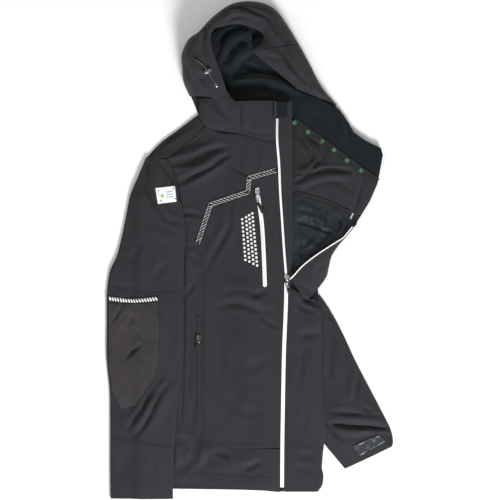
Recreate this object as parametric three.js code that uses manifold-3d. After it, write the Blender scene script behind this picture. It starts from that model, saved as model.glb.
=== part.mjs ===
// A hooded softshell work jacket, laid front up on a flat surface.
// Its left half is folded under at the waist and its left front is turned out above the zip's slider,
// so that the collar, the neck tape and the inside of the left front show beside the closed right front.
// Millimetres. +Z is up from the surface, +Y runs from the hem to the hood and +X to the viewer's right.
// "Right" and "left" in the names are the wearer's, so the right front and right sleeve are at -X.
import * as THREE from "three";
import { mergeVertices } from "three/addons/utils/BufferGeometryUtils.js";
import Module from "manifold-3d";

const wasm = await Module();
wasm.setup();

// Driving sizes
const CLOTH = 1.6; // softshell, three bonded layers
const COLLAR_CLOTH = 3; // collar, two layers of softshell
const TRIM = 1.2; // tapes, mesh and patches
const SEAM = 0.3; // gap between two pieces at a seam
const LAID = 0.5; // gap under a piece that lies on cloth with folds in it
const REST = CLOTH / 2; // mid-height of cloth that lies on the surface
const HIDDEN_TOP = 8; // top of the layers folded under
const OVER_HIDDEN = HIDDEN_TOP + 0.6 + CLOTH / 2; // mid-height of cloth that lies on them
const FRONT_LOW = 4.4; // mid-height of the front at the side seam
const FRONT_HIGH = 14.6; // mid-height of the front beside the zip
const NECK_RISE = 7; // how much higher the front lies at the neckline
const SIDE_X = -200; // the body's side fold, under the right sleeve
const ZIP_WIDE = 9; // both tapes of the closed zip
const TAPE_WIDE = 5; // one tape of the open zip

const material = (color, roughness = 0.8, metalness = 0) =>
  new THREE.MeshStandardMaterial({ color, roughness, metalness });
const SOFTSHELL = () => material(0x2e2f33);
const FLEECE = () => material(0x1f2629, 0.95);
const MESH = () => material(0x453f42, 0.9);
const LINING = () => material(0x30383b, 0.6);
const WHITE = () => material(0xe8e9ea, 0.6);
const METAL = () => material(0xb0b2b5, 0.35, 0.9);
const PLASTIC = () => material(0x18191b, 0.45);

const jacket = new THREE.Group();
jacket.name = "softshell_jacket";

function add(name, geometry, finish, parent = jacket) {
  const mesh = new THREE.Mesh(geometry, finish);
  mesh.name = name;
  parent.add(mesh);
  return mesh;
}

// Small helpers
const mix = (a, b, t) => a + (b - a) * t;
const clamp = (t) => Math.min(1, Math.max(0, t));
const ramp = (value, from, to) => {
  const t = clamp((value - from) / (to - from));
  return t * t * (3 - 2 * t);
};

// A smooth curve through a few [x, y] or [x, y, z] points, sampled by arc length
function curve(points) {
  const line = new THREE.CatmullRomCurve3(
    points.map(([x, y, z = 0]) => new THREE.Vector3(x, y, z)),
    false,
    "centripetal",
  );
  return (t) => line.getPointAt(clamp(t));
}

// A smooth line through the rows of a table: named columns as functions of the row's place from 0 to 1
function columns(table) {
  const names = Object.keys(table[0]);
  const last = table.length - 1;
  return (t) => {
    const place = clamp(t) * last;
    const i = Math.min(last - 1, Math.floor(place));
    const f = place - i;
    const row = {};
    for (const name of names) {
      const at = (k) => table[Math.min(last, Math.max(0, k))][name];
      const [a, b, c, d] = [at(i - 1), at(i), at(i + 1), at(i + 2)];
      row[name] =
        b + 0.5 * f * (c - a + f * (2 * a - 5 * b + 4 * c - d + f * (3 * (b - c) + d - a)));
    }
    return row;
  };
}

// Where a falling line, given by t from 0 to 1, passes a height
function placeAtY(line, y) {
  let [low, high] = [0, 1];
  for (let i = 0; i < 24; i++) {
    const middle = (low + high) / 2;
    if (line(middle).y > y) low = middle;
    else high = middle;
  }
  return line(low);
}

// How far a point is from a straight line, and how far along it, from 0 to 1
function nearest({ x0, y0, x1, y1 }, x, y) {
  const length2 = (x1 - x0) ** 2 + (y1 - y0) ** 2;
  const along = clamp(((x - x0) * (x1 - x0) + (y - y0) * (y1 - y0)) / length2);
  return { along, distance: Math.hypot(x - mix(x0, x1, along), y - mix(y0, y1, along)) };
}

// The soft ridges of a table of folds: each runs from one point to another and fades at its ends
function folds(table, x, y) {
  let height = 0;
  for (const fold of table) {
    const { distance, along } = nearest(fold, x, y);
    height += fold.high * Math.exp(-((distance / fold.wide) ** 2)) * Math.sin(Math.PI * along) ** 0.6;
  }
  return height;
}

// A closed solid from shared vertices and triangles, turned to face outwards
function closed(positions, triangles) {
  let volume = 0;
  for (const [a, b, c] of triangles) volume += positions[a].dot(positions[b].clone().cross(positions[c]));
  const facing = volume < 0 ? triangles.map(([a, b, c]) => [a, c, b]) : triangles;
  const geometry = new THREE.BufferGeometry().setFromPoints(positions);
  geometry.setIndex(facing.flat());
  return geometry;
}

// Cloth of one thickness round a grid of mid-surface points. A tube joins its last column to its first.
function wall(grid, thickness, tube = false) {
  const [rows, cols] = [grid.length, grid[0].length];
  const point = (i, j) => {
    const column = tube ? (j + cols) % cols : Math.min(cols - 1, Math.max(0, j));
    return grid[Math.min(rows - 1, Math.max(0, i))][column];
  };
  const sides = [[], []];
  for (let i = 0; i < rows; i++)
    for (let j = 0; j < cols; j++) {
      const down = point(i + 1, j).clone().sub(point(i - 1, j));
      const across = point(i, j + 1).clone().sub(point(i, j - 1));
      const out = across.cross(down).normalize().multiplyScalar(thickness / 2);
      sides[0].push(point(i, j).clone().add(out));
      sides[1].push(point(i, j).clone().sub(out));
    }
  const id = (side, i, j) => (side * rows + i) * cols + ((j + cols) % cols);
  const triangles = [];
  const quad = (a, b, c, d) => triangles.push([a, b, c], [a, c, d]);
  const spans = tube ? cols : cols - 1;
  const last = rows - 1;
  for (let j = 0; j < spans; j++) {
    for (let i = 0; i < last; i++) {
      quad(id(0, i, j), id(0, i, j + 1), id(0, i + 1, j + 1), id(0, i + 1, j));
      quad(id(1, i, j), id(1, i + 1, j), id(1, i + 1, j + 1), id(1, i, j + 1));
    }
    quad(id(1, 0, j), id(1, 0, j + 1), id(0, 0, j + 1), id(0, 0, j));
    quad(id(0, last, j), id(0, last, j + 1), id(1, last, j + 1), id(1, last, j));
  }
  if (!tube)
    for (let i = 0; i < last; i++) {
      quad(id(0, i, 0), id(0, i + 1, 0), id(1, i + 1, 0), id(1, i, 0));
      quad(id(1, i, cols - 1), id(1, i + 1, cols - 1), id(0, i + 1, cols - 1), id(0, i, cols - 1));
    }
  return closed([...sides[0], ...sides[1]], triangles);
}

// Rows of points between two edge curves, at a height worked out for each place
function patch(leftEdge, rightEdge, rows, cols, height) {
  const grid = [];
  for (let i = 0; i <= rows; i++) {
    const [a, b] = [leftEdge(i / rows), rightEdge(i / rows)];
    grid.push([]);
    for (let j = 0; j <= cols; j++) {
      const p = a.clone().lerp(b, j / cols);
      p.z = height(p.x, p.y, i / rows, j / cols);
      grid[i].push(p);
    }
  }
  return grid;
}

// Rows of points over a rectangle
const sheet = ({ left, right, top, bottom }, step, height) =>
  patch(
    curve([[left, top], [left, bottom]]),
    curve([[right, top], [right, bottom]]),
    Math.round((top - bottom) / step),
    Math.round((right - left) / step),
    height,
  );

// A ribbon of one width along a route, lying at a height worked out for each place
function ribbon(route, wide, steps, cols, height) {
  const grid = [];
  for (let i = 0; i <= steps; i++) {
    const [p, q] = [route(i / steps - 0.004), route(i / steps + 0.004)];
    const side = new THREE.Vector3(q.y - p.y, p.x - q.x, 0).normalize();
    grid.push([]);
    for (let j = 0; j <= cols; j++) {
      const place = route(i / steps).addScaledVector(side, wide * (j / cols - 0.5));
      place.z = height(place.x, place.y, i / steps);
      grid[i].push(place);
    }
  }
  return grid;
}

// The height of a grid's surface over a place, or of its nearest point, so that a piece can lie on another
function heightOn(grid) {
  const facets = [];
  for (let i = 0; i + 1 < grid.length; i++)
    for (let j = 0; j + 1 < grid[0].length; j++) {
      const [a, b, c, d] = [grid[i][j], grid[i][j + 1], grid[i + 1][j + 1], grid[i + 1][j]];
      facets.push([a, b, c], [a, c, d]);
    }
  return (x, y) => {
    let best = -Infinity;
    for (const [a, b, c] of facets) {
      const area = (b.x - a.x) * (c.y - a.y) - (c.x - a.x) * (b.y - a.y);
      if (Math.abs(area) < 1e-9) continue;
      const u = ((b.x - x) * (c.y - y) - (c.x - x) * (b.y - y)) / area;
      const v = ((c.x - x) * (a.y - y) - (a.x - x) * (c.y - y)) / area;
      if (u < -1e-6 || v < -1e-6 || u + v > 1 + 1e-6) continue;
      best = Math.max(best, u * a.z + v * b.z + (1 - u - v) * c.z);
    }
    if (best > -Infinity) return best;
    const away = (p) => Math.hypot(p.x - x, p.y - y);
    return grid.flat().reduce((near, p) => (away(p) < away(near) ? p : near)).z;
  };
}
const lift = (over, under = CLOTH, piece = TRIM) => under / 2 + over + piece / 2;

// manifold-3d solids, which only cut and join
function solid(geometry) {
  const bare = geometry.clone();
  bare.deleteAttribute("normal");
  bare.deleteAttribute("uv");
  const merged = mergeVertices(bare, 1e-4);
  return new wasm.Manifold(
    new wasm.Mesh({
      numProp: 3,
      vertProperties: new Float32Array(merged.attributes.position.array),
      triVerts: new Uint32Array(merged.index.array),
    }),
  );
}

function geometryOf(manifold) {
  const mesh = manifold.getMesh();
  const geometry = new THREE.BufferGeometry();
  geometry.setAttribute("position", new THREE.BufferAttribute(mesh.vertProperties, 3));
  geometry.setIndex(new THREE.BufferAttribute(mesh.triVerts, 1));
  return geometry;
}

// An outline drawn in by a distance on every side
function drawnIn(outline, by) {
  const turn = THREE.ShapeUtils.area(outline.map(([x, y]) => new THREE.Vector2(x, y))) > 0 ? 1 : -1;
  return outline.map(([x, y], i) => {
    const [px, py] = outline.at(i - 1);
    const [nx, ny] = outline[(i + 1) % outline.length];
    const before = new THREE.Vector2(py - y, x - px).normalize();
    const after = new THREE.Vector2(y - ny, nx - x).normalize();
    const inward = before.clone().add(after);
    inward.multiplyScalar((turn * by) / Math.max(0.4, 1 + before.dot(after)));
    return [x + inward.x, y + inward.y];
  });
}

// One pattern piece cut from a wall of cloth along its seams, half a seam gap inside its outline
function cut(cloth, outline) {
  const shape = new THREE.Shape(drawnIn(outline, SEAM / 2).map(([x, y]) => new THREE.Vector2(x, y)));
  const cutter = new THREE.ExtrudeGeometry(shape, { depth: 92, bevelEnabled: false }).translate(0, 0, -1);
  return geometryOf(cloth.intersect(solid(cutter)));
}

const sample = (line, count) => {
  const points = [];
  for (let i = 0; i <= count; i++) {
    const p = line(i / count);
    points.push([p.x, p.y]);
  }
  return points;
};

// Seams and edges of the body, each drawn once and shared by the pieces on both sides of it
const SLIDER_Y = -62; // the zip is open above this place and closed below it
const OPEN_END = -42; // above this place the right front's edge runs beside one tape only
const zipLine = curve([
  [54, 264], [54, 220], [58, 170], [60, 120], [64, 60], [68, 0], [72, -56], [72, -100], [68, -200],
  [66, -300], [64.5, -400], [64, -484],
]);
const zipX = (y) => placeAtY(zipLine, y).x;
const zipHalf = (y) => mix(ZIP_WIDE, TAPE_WIDE, ramp(y, SLIDER_Y, OPEN_END)) / 2;
const shoulderSeam = [[-164, 184], [-138, 202], [-112, 224], [-92, 246]];
const neckline = [[-92, 246], [-56, 237], [-20, 232], [12, 223], [51.5, 214]];
const chestBand = [[-106, 9], [-79, 90], [-5, 116], [-2, 144], [54.5, 160]];
const princessSeam = [[-106, 9], [-96, -30], [-95, -120], [-96, -250], [-96, -376]];
const hemSeam = [[-150, -358], [-122, -364], [-96, -376], [-72, -390], [-50, -395], [0, -396], [60, -397]];
const armhole = [[-164, 184], [-148, 150], [-140, 110], [-137, 70]];
const hemEdge = [[59, -485], [0, -478], [-80, -472], [-150, -468], [SIDE_X, -466]];

function zipEdge(fromY, toY, points) {
  const edge = [];
  for (let i = 0; i <= points; i++) {
    const y = mix(fromY, toY, i / points);
    edge.push([zipX(y) - zipHalf(y), y]);
  }
  return edge;
}

// How far a place is up the stretch where the front rises to the neckline, from 0 to 1
const neckward = (y) => ramp(y, 110, 235);

// The largest folds of the front, as ridges
const FRONT_FOLDS = [
  { x0: -128, y0: 132, x1: -50, y1: 186, high: 4.5, wide: 13 },
  { x0: -136, y0: 158, x1: -70, y1: 176, high: 3, wide: 9 },
  { x0: -118, y0: 190, x1: -54, y1: 228, high: 3, wide: 8 },
  { x0: -118, y0: 40, x1: -116, y1: -60, high: 2.5, wide: 10 },
  { x0: -30, y0: 90, x1: -52, y1: -10, high: 2.5, wide: 12 },
  { x0: -60, y0: -66, x1: 4, y1: -78, high: 3, wide: 14 },
  { x0: -20, y0: -100, x1: 52, y1: -112, high: 2, wide: 10 },
  { x0: -136, y0: -420, x1: -70, y1: -392, high: 3.5, wide: 12 },
  { x0: -30, y0: -340, x1: 10, y1: -270, high: 2.5, wide: 14 },
  { x0: -80, y0: -440, x1: 20, y1: -410, high: 2.5, wide: 12 },
];

// Mid-height of the front's cloth. It climbs from the side onto the folded half, and up to the neck.
function frontHeight(x, y) {
  const neck = NECK_RISE * neckward(y) * ramp(x, -130, -10);
  return mix(FRONT_LOW, FRONT_HIGH, ramp(x, -80, 34)) + neck + folds(FRONT_FOLDS, x, y);
}
const backHeight = (x) => mix(REST, OVER_HIDDEN, ramp(x, -24, 30));

// The layers folded under: one rounded solid whose edge is grooved between its layers
const HIDDEN_LAYERS = 3;
const GROOVE = 1.6;
const LAYER_STEP = 2.4; // each layer lies this much further in than the one below
const hiddenOutline = curve([
  [40, -464], [112, -466], [118, -440], [119, -300], [119, -110], [126, -66], [142, -32], [152, -8],
  [176, 30], [206, 66], [222, 98], [238, 142], [246, 172], [240, 196], [218, 212], [192, 228], [170, 246],
  [120, 258], [80, 256], [44, 248], [40, 100], [40, -300],
]);
function foldedUnder() {
  const outline = sample(hiddenOutline, 44);
  const rings = [];
  for (let k = 0; k <= 2 * HIDDEN_LAYERS; k++) {
    const inside = LAYER_STEP * Math.floor(k / 2) + (k % 2 ? SEAM : GROOVE);
    const z = (HIDDEN_TOP * k) / (2 * HIDDEN_LAYERS);
    rings.push(drawnIn(outline, inside).map(([x, y]) => new THREE.Vector3(x, y, z)));
  }
  const count = outline.length;
  const triangles = [];
  for (let k = 0; k + 1 < rings.length; k++)
    for (let j = 0; j < count; j++) {
      const [a, b] = [k * count + j, k * count + ((j + 1) % count)];
      triangles.push([a, b, b + count], [a, b + count, a + count]);
    }
  const top = (rings.length - 1) * count;
  const flat = (ring) =>
    THREE.ShapeUtils.triangulateShape(ring.map((p) => new THREE.Vector2(p.x, p.y)), []);
  for (const [a, b, c] of flat(rings[0])) triangles.push([c, b, a]);
  for (const [a, b, c] of flat(rings.at(-1))) triangles.push([top + a, top + b, top + c]);
  return closed(rings.flat(), triangles);
}
add("folded_under_layers", foldedUnder(), SOFTSHELL());

// Back: flat on the surface, and over the folded layers at its right
const backCloth = solid(
  wall(patch(curve([[-204, 270], [-204, -484]]), curve([[124, 270], [124, -484]]), 3, 16, backHeight), CLOTH),
);
add("back_panel", cut(backCloth, [
  [SIDE_X, -478], [-60, -480], [60, -482], [116, -478], [117, -96], [72, -60], [70, 226], [40, 236],
  [-50, 252], [-98, 256], [-150, 216], [-186, 182], [SIDE_X, 160],
]), SOFTSHELL());

// Right front: one cloth, cut along its seams into chest, main, side and hem pieces
const frontGrid = sheet({ left: -204, right: 80, top: 256, bottom: -492 }, 20.3, frontHeight);
const frontCloth = solid(wall(frontGrid, CLOTH));
const onFront = heightOn(frontGrid);
add("front_chest_piece", cut(frontCloth, [
  ...shoulderSeam, ...neckline.slice(1), ...zipEdge(208, 165, 3), ...chestBand.slice(0, -1).reverse(),
  [-137, 4], ...armhole.slice(1).reverse(),
]), SOFTSHELL());
add("front_main_piece", cut(frontCloth, [
  ...chestBand.slice(0, -1), ...zipEdge(160, OPEN_END, 9), ...zipEdge(SLIDER_Y, -395, 15),
  ...hemSeam.slice(2, -1).reverse(), ...princessSeam.slice(1, -1).reverse(),
]), SOFTSHELL());
add("front_side_piece", cut(frontCloth, [
  ...princessSeam, ...hemSeam.slice(0, 2).reverse(), [SIDE_X, -356], [SIDE_X, 4], [-137, 4],
]), SOFTSHELL());
add("front_hem_right", cut(frontCloth, [
  [SIDE_X, -356], ...hemSeam.slice(0, -1), ...zipEdge(-397, -484, 4), ...hemEdge.slice(1),
]), SOFTSHELL());

// Chest zip and the hand pocket's welt, laid on the front
const onFrontTrim = (x, y) => onFront(x, y) + lift(LAID);
const chestZip = curve([[14, 124], [19, 88], [24, 50], [27.5, -10], [30, -74]]);
add("chest_zip", wall(ribbon(chestZip, ZIP_WIDE, 18, 1, onFrontTrim), TRIM), WHITE());
const handPocket = curve([[-103, -132], [-103, -322]]);
add("hand_pocket_welt", wall(ribbon(handPocket, 6, 18, 1, onFrontTrim), TRIM), SOFTSHELL());

// Shoulder: a mesh piece from the seam over to the shoulder's fold, where it rolls down to the surface
const shoulderFold = curve([[-206, 185], [-178, 215], [-140, 243], [-107, 268]]);
const shoulderInner = curve(shoulderSeam.map(([x, y]) => [x - 0.5, y + 0.6]));
const SHOULDER_PUFF = 3.5;
const shoulderGrid = patch(shoulderFold, shoulderInner, 9, 6, (x, y, v, u) => {
  const seam = shoulderInner(v);
  const rolled = Math.sqrt(1 - (1 - u) ** 2);
  const puff = SHOULDER_PUFF * (1 - v) * Math.sin(Math.PI * u);
  return mix(REST + 0.6, frontHeight(seam.x, seam.y), rolled) + puff;
});
add("shoulder_mesh_right", wall(shoulderGrid, CLOTH), MESH());

// Left front below the slider: from the zip to the fold at the side, round it and a little way under
const leftFold = columns([
  { y: -98, x: 128, under: 9.2 }, { y: -112, x: 135, under: 9.2 }, { y: -130, x: 141, under: 9.2 },
  { y: -210, x: 142, under: 9.2 }, { y: -280, x: 144, under: 9.2 }, { y: -330, x: 148, under: 9.2 },
  { y: -370, x: 149, under: 9.2 }, { y: -390, x: 148, under: 8.6 }, { y: -406, x: 146, under: 4 },
  { y: -422, x: 145, under: REST }, { y: -437, x: 144, under: REST }, { y: -450, x: 147, under: REST },
  { y: -470, x: 145, under: REST }, { y: -483, x: 136, under: REST },
]);
const LEFT_FOLDS = [
  { x0: 84, y0: -140, x1: 136, y1: -152, high: 1.5, wide: 9 },
  { x0: 112, y0: -200, x1: 112, y1: -330, high: 1.5, wide: 12 },
];
const leftHeight = (x, y) => FRONT_HIGH + folds(LEFT_FOLDS, x, y);
const LEFT_SHARES = [0, 0.25, 0.5, 0.75, 1];
const ROUND_STEPS = 4;
const UNDER_TO_X = 120.5; // the turned-under edge ends here, beside the folded layers
function leftFrontGrid(fromY, toY, rows) {
  const grid = [];
  for (let i = 0; i <= rows; i++) {
    const y = mix(fromY, toY, i / rows);
    const fold = placeAtY(leftFold, y);
    const radius = (FRONT_HIGH - fold.under) / 2;
    const start = zipX(y) + (ZIP_WIDE + SEAM) / 2;
    const turn = fold.x - CLOTH / 2 - radius;
    const row = LEFT_SHARES.map((share) => [mix(start, turn, share), leftHeight(mix(start, turn, share), y)]);
    for (let k = 1; k <= ROUND_STEPS; k++) {
      const angle = Math.PI * (0.5 - k / ROUND_STEPS);
      row.push([turn + radius * Math.cos(angle), fold.under + radius * (1 + Math.sin(angle))]);
    }
    row.push([Math.min(turn - 1, UNDER_TO_X), fold.under]);
    grid.push(row.map(([x, z]) => new THREE.Vector3(x, y, z)));
  }
  return grid;
}
add("left_front_piece", wall(leftFrontGrid(-98, -397, 14), CLOTH), SOFTSHELL());
add("front_hem_left", wall(leftFrontGrid(-397 - SEAM, -483, 5), CLOTH), SOFTSHELL());

// Wind guard: a strip behind the open zip, which stands up inside the collar
const guardEdge = curve([[84, 296], [84, 200], [85, 100], [86, 20], [82, -36], [76, -52]]);
const guardInner = curve([[46, 296], [44, 200], [44, 100], [50, 20], [54, -36], [58, -52]]);
const GUARD_Z = 12.2; // mid-height of the guard, between the front and the folded layers
const GUARD_TOP_RISE = 1.5; // how much more it rises inside the collar
const guardHeight = (x, y) => GUARD_Z + NECK_RISE * neckward(y) + GUARD_TOP_RISE * ramp(y, 235, 296);
add("wind_guard", wall(patch(guardEdge, guardInner, 16, 2, guardHeight), CLOTH), SOFTSHELL());

// Main zip: one tape on the right front, and both tapes closed below the slider
const CHAIN = 2.4; // thickness of the closed teeth
const tapeHeight = (x, y) => FRONT_HIGH + NECK_RISE * neckward(y);
const openZip = (t) => placeAtY(zipLine, mix(262, SLIDER_Y + 8, t));
add("zip_tape_right", wall(ribbon(openZip, TAPE_WIDE - SEAM, 20, 1, tapeHeight), CLOTH), WHITE());
const closedZip = (t) => placeAtY(zipLine, mix(SLIDER_Y - 4, -474, t));
add("zip_chain", wall(ribbon(closedZip, ZIP_WIDE - SEAM, 18, 1, () => FRONT_HIGH), CHAIN), WHITE());
const endBox = new THREE.BoxGeometry(ZIP_WIDE - 2 * SEAM, 7, 3.4).translate(64, -479, FRONT_HIGH);
add("zip_end_box", endBox, PLASTIC());

// Left front above the slider, turned out: the zip's edge stands up and the cloth falls away to the side
const turnedRow = columns([
  { tx: 85, ty: -57, tz: 17.8, sx: 92, sy: -74, sz: 17.2 },
  { tx: 104, ty: -35, tz: 22, sx: 108, sy: -99, sz: 16.4 },
  { tx: 130, ty: -14, tz: 23, sx: 130, sy: -100, sz: 16.2 },
  { tx: 160, ty: 6, tz: 23, sx: 153, sy: -52, sz: 9 },
  { tx: 176, ty: 16, tz: 22.4, sx: 156, sy: -24, sz: 6.6 },
  { tx: 190, ty: 26, tz: 21, sx: 184, sy: 20, sz: 12 },
  { tx: 212, ty: 54, tz: 17, sx: 214, sy: 53, sz: 15.4 },
]);
const TURNED_PUFF = 2;
const turnedGrid = [];
const TURNED_ROWS = 16;
const TURNED_COLS = 5;
for (let i = 0; i <= TURNED_ROWS; i++) {
  const row = turnedRow(i / TURNED_ROWS);
  turnedGrid.push([]);
  for (let j = 0; j <= TURNED_COLS; j++) {
    const u = j / TURNED_COLS;
    const puff = TURNED_PUFF * Math.sin(Math.PI * u) * Math.sin((Math.PI * i) / TURNED_ROWS) ** 0.5;
    turnedGrid[i].push(new THREE.Vector3(
      mix(row.tx, row.sx, u), mix(row.ty, row.sy, u), mix(row.tz, row.sz, u) + puff,
    ));
  }
}
add("left_front_turned", wall(turnedGrid, CLOTH), SOFTSHELL());

// The left tape stands on the turned edge, leaning a little inwards
const TAPE_UP = 1.4;
const TAPE_FROM_EDGE = [1.2, 5.2];
const INWARDS = { x: -0.62, y: 0.78 }; // across the turned edge
const leftTapeGrid = turnedGrid.map(([edge]) =>
  TAPE_FROM_EDGE.map((away) =>
    new THREE.Vector3(edge.x + INWARDS.x * away, edge.y + INWARDS.y * away, edge.z + TAPE_UP)),
);
add("zip_tape_left", wall(leftTapeGrid, TRIM), WHITE());

// Inside of the turned-out left front: one cloth, cut into collar, lining, pocket and facing
const INSIDE_FOLDS = [
  { x0: 88, y0: 150, x1: 150, y1: 172, high: 4, wide: 9 },
  { x0: 90, y0: 226, x1: 120, y1: 190, high: 3, wide: 9 },
  { x0: 92, y0: 92, x1: 150, y1: 66, high: 3, wide: 9 },
  { x0: 148, y0: 74, x1: 138, y1: 16, high: 4, wide: 9 },
  { x0: 96, y0: 34, x1: 128, y1: 2, high: 3, wide: 9 },
  { x0: 190, y0: 262, x1: 193, y1: 214, high: 3, wide: 8 },
  { x0: 100, y0: 310, x1: 120, y1: 262, high: 2.5, wide: 12 },
];
const turnedInner = [[80, -46], [106, -26], [146, 0], [188, 34], [208, 62]];
const NECK_BACK_Z = 5.4; // mid-height of the collar behind the neck
const EDGE_RISE = 9; // the lining climbs this much to the turned edge
const EDGE_WIDE = 15;
function insideHeight(x, y) {
  const laid = mix(NECK_BACK_Z, OVER_HIDDEN + 0.2, ramp(x, -30, 50));
  let away = Infinity;
  for (let i = 0; i + 1 < turnedInner.length; i++) {
    const [[x0, y0], [x1, y1]] = [turnedInner[i], turnedInner[i + 1]];
    away = Math.min(away, nearest({ x0, y0, x1, y1 }, x, y).distance);
  }
  const climb = EDGE_RISE * Math.exp(-((away / EDGE_WIDE) ** 2)) * ramp(x, 86, 112) * (1 - ramp(x, 176, 208));
  return laid + climb + folds(INSIDE_FOLDS, x, y);
}
const insideGrid = sheet({ left: -52, right: 272, top: 352, bottom: -60 }, 17.2, insideHeight);
const insideCloth = solid(wall(insideGrid, CLOTH));
const onInside = heightOn(insideGrid);
const tapeLine = [[78, 265], [116, 238], [144, 218], [168, 200], [194, 180], [224, 158], [256, 136]];
const meshLine = [[82, 144], [110, 156], [152, 174], [163, 190], [144, 218]];
const pocketLine = [[82, 116], [150, 96], [206, 70]];
add("collar_left_inside", cut(insideCloth, [
  ...tapeLine.slice().reverse(), [40, 268], [0, 272], [-40, 282], [-46, 300], [-44, 338], [-10, 346],
  [24, 347], [60, 339], [94, 318], [136, 304], [178, 282], [196, 256], [207, 236], [231, 219], [262, 204],
  [266, 190],
]), FLEECE());
add("mesh_lining", cut(insideCloth, [tapeLine[0], tapeLine[1], ...meshLine.slice().reverse()]), MESH());
add("facing_left_front", cut(insideCloth, [
  ...meshLine.slice(0, -1), ...tapeLine.slice(2, -1), [230, 154], [220, 112], [204, 71],
  ...pocketLine.slice(0, -1).reverse(),
]), SOFTSHELL());
add("pocket_lining", cut(insideCloth, [
  ...pocketLine.slice(0, -1), [204, 71], ...turnedInner.slice(0, -1).reverse(),
]), LINING());
add("facing_edge_left", cut(insideCloth, [
  [230, 154], [256, 135], [240, 98], [218, 62], [208, 62], [204, 71], [220, 112],
]), SOFTSHELL());

// Tapes that lie on the inside: the hanging tape along the collar seam and the inner pocket's edge
const insideLift = lift(LAID);
const onInsideTape = (x, y) => onInside(x, y) + insideLift;
const neckTapeRoute = curve([
  [86, 259], [116, 238], [144, 218], [168, 200], [194, 180], [224, 158], [250, 140],
]);
add("neck_tape", wall(ribbon(neckTapeRoute, 14, 18, 2, onInsideTape), TRIM), PLASTIC());
const pocketTapeRoute = curve([[90, 113], [150, 96], [200, 73]]);
add("inner_pocket_tape", wall(ribbon(pocketTapeRoute, 10, 10, 1, onInsideTape), TRIM), SOFTSHELL());

// Collar's right end, closed: a side piece and a front piece, above the neckline
const collarRow = columns([
  { bx: -101, by: 264, bz: 4.6, tx: -102, ty: 303, tz: 6 },
  { bx: -87, by: 245.8, bz: 7.6, tx: -90, ty: 303, tz: 20 },
  { bx: -58, by: 238.3, bz: 11, tx: -64, ty: 300, tz: 27.5 },
  { bx: -36, by: 235, bz: 15, tx: -42, ty: 297, tz: 30 },
  { bx: -20, by: 232.8, bz: 17.8, tx: -20, ty: 296, tz: 31 },
  { bx: 12, by: 223.8, bz: 21.6, tx: 12, ty: 297, tz: 30 },
  { bx: 51.2, by: 215.1, bz: 22.6, tx: 50, ty: 297, tz: 29 },
]);
const COLLAR_PUFF = 2;
function collarGrid(from, to, cols, rows) {
  const grid = [];
  for (let i = 0; i <= rows; i++) {
    const up = i / rows;
    grid.push([]);
    for (let j = 0; j <= cols; j++) {
      const row = collarRow(mix(from, to, j / cols));
      const z = mix(row.bz, row.tz, up) + COLLAR_PUFF * Math.sin(Math.PI * up);
      grid[i].push(new THREE.Vector3(mix(row.bx, row.tx, up), mix(row.by, row.ty, up), z));
    }
  }
  return grid;
}
const COLLAR_SEAM = 4 / 6; // the place of the seam between the two, along the collar's table
add("collar_right_side", wall(collarGrid(0, COLLAR_SEAM, 8, 4), COLLAR_CLOTH), SOFTSHELL());
add("collar_right_front", wall(collarGrid(COLLAR_SEAM + 0.004, 1, 4, 4), COLLAR_CLOTH), SOFTSHELL());

// A sleeve lying flat: a section with two folds for each row, from its outer fold (l) to its inner one (r)
const SLEEVE_FLAT = 6; // spans across each layer
const SLEEVE_ROUND = [0.33, 0.67]; // places round each fold
function sleeveGrid(table, rows, rest, crownAt, ridges) {
  const at = columns(table);
  const grid = [];
  for (let i = 0; i <= rows; i++) {
    const row = at(i / rows);
    const fold = row.gap / 2;
    const inset = (fold + CLOTH / 2) / Math.hypot(row.rx - row.lx, row.ry - row.ly);
    const point = (u, out, angle) => {
      const [x, y] = [mix(row.lx, row.rx, u), mix(row.ly, row.ry, u)];
      const along = out / Math.hypot(row.rx - row.lx, row.ry - row.ly);
      const round = fold + fold * Math.sin(angle);
      return new THREE.Vector3(
        x + (row.rx - row.lx) * along * Math.cos(angle), y + (row.ry - row.ly) * along * Math.cos(angle),
        rest(x, y) + round,
      );
    };
    const ring = [];
    for (let j = 0; j <= SLEEVE_FLAT; j++) {
      const p = point(mix(inset, 1 - inset, j / SLEEVE_FLAT), 0, Math.PI / 2);
      p.z += row.crown * Math.sin((Math.PI * j) / SLEEVE_FLAT) * crownAt(p.x);
      p.z += folds(ridges, p.x, p.y);
      ring.push(p);
    }
    for (const turn of SLEEVE_ROUND) ring.push(point(1 - inset, fold, Math.PI * (0.5 - turn)));
    for (let j = SLEEVE_FLAT; j >= 0; j--)
      ring.push(point(mix(inset, 1 - inset, j / SLEEVE_FLAT), 0, -Math.PI / 2));
    for (const turn of SLEEVE_ROUND) ring.push(point(inset, fold, Math.PI * (1.5 - turn)));
    grid.push(ring);
  }
  return grid;
}
const sleeveTop = (grid) => grid.map((ring) => ring.slice(0, SLEEVE_FLAT + 1));

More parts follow.
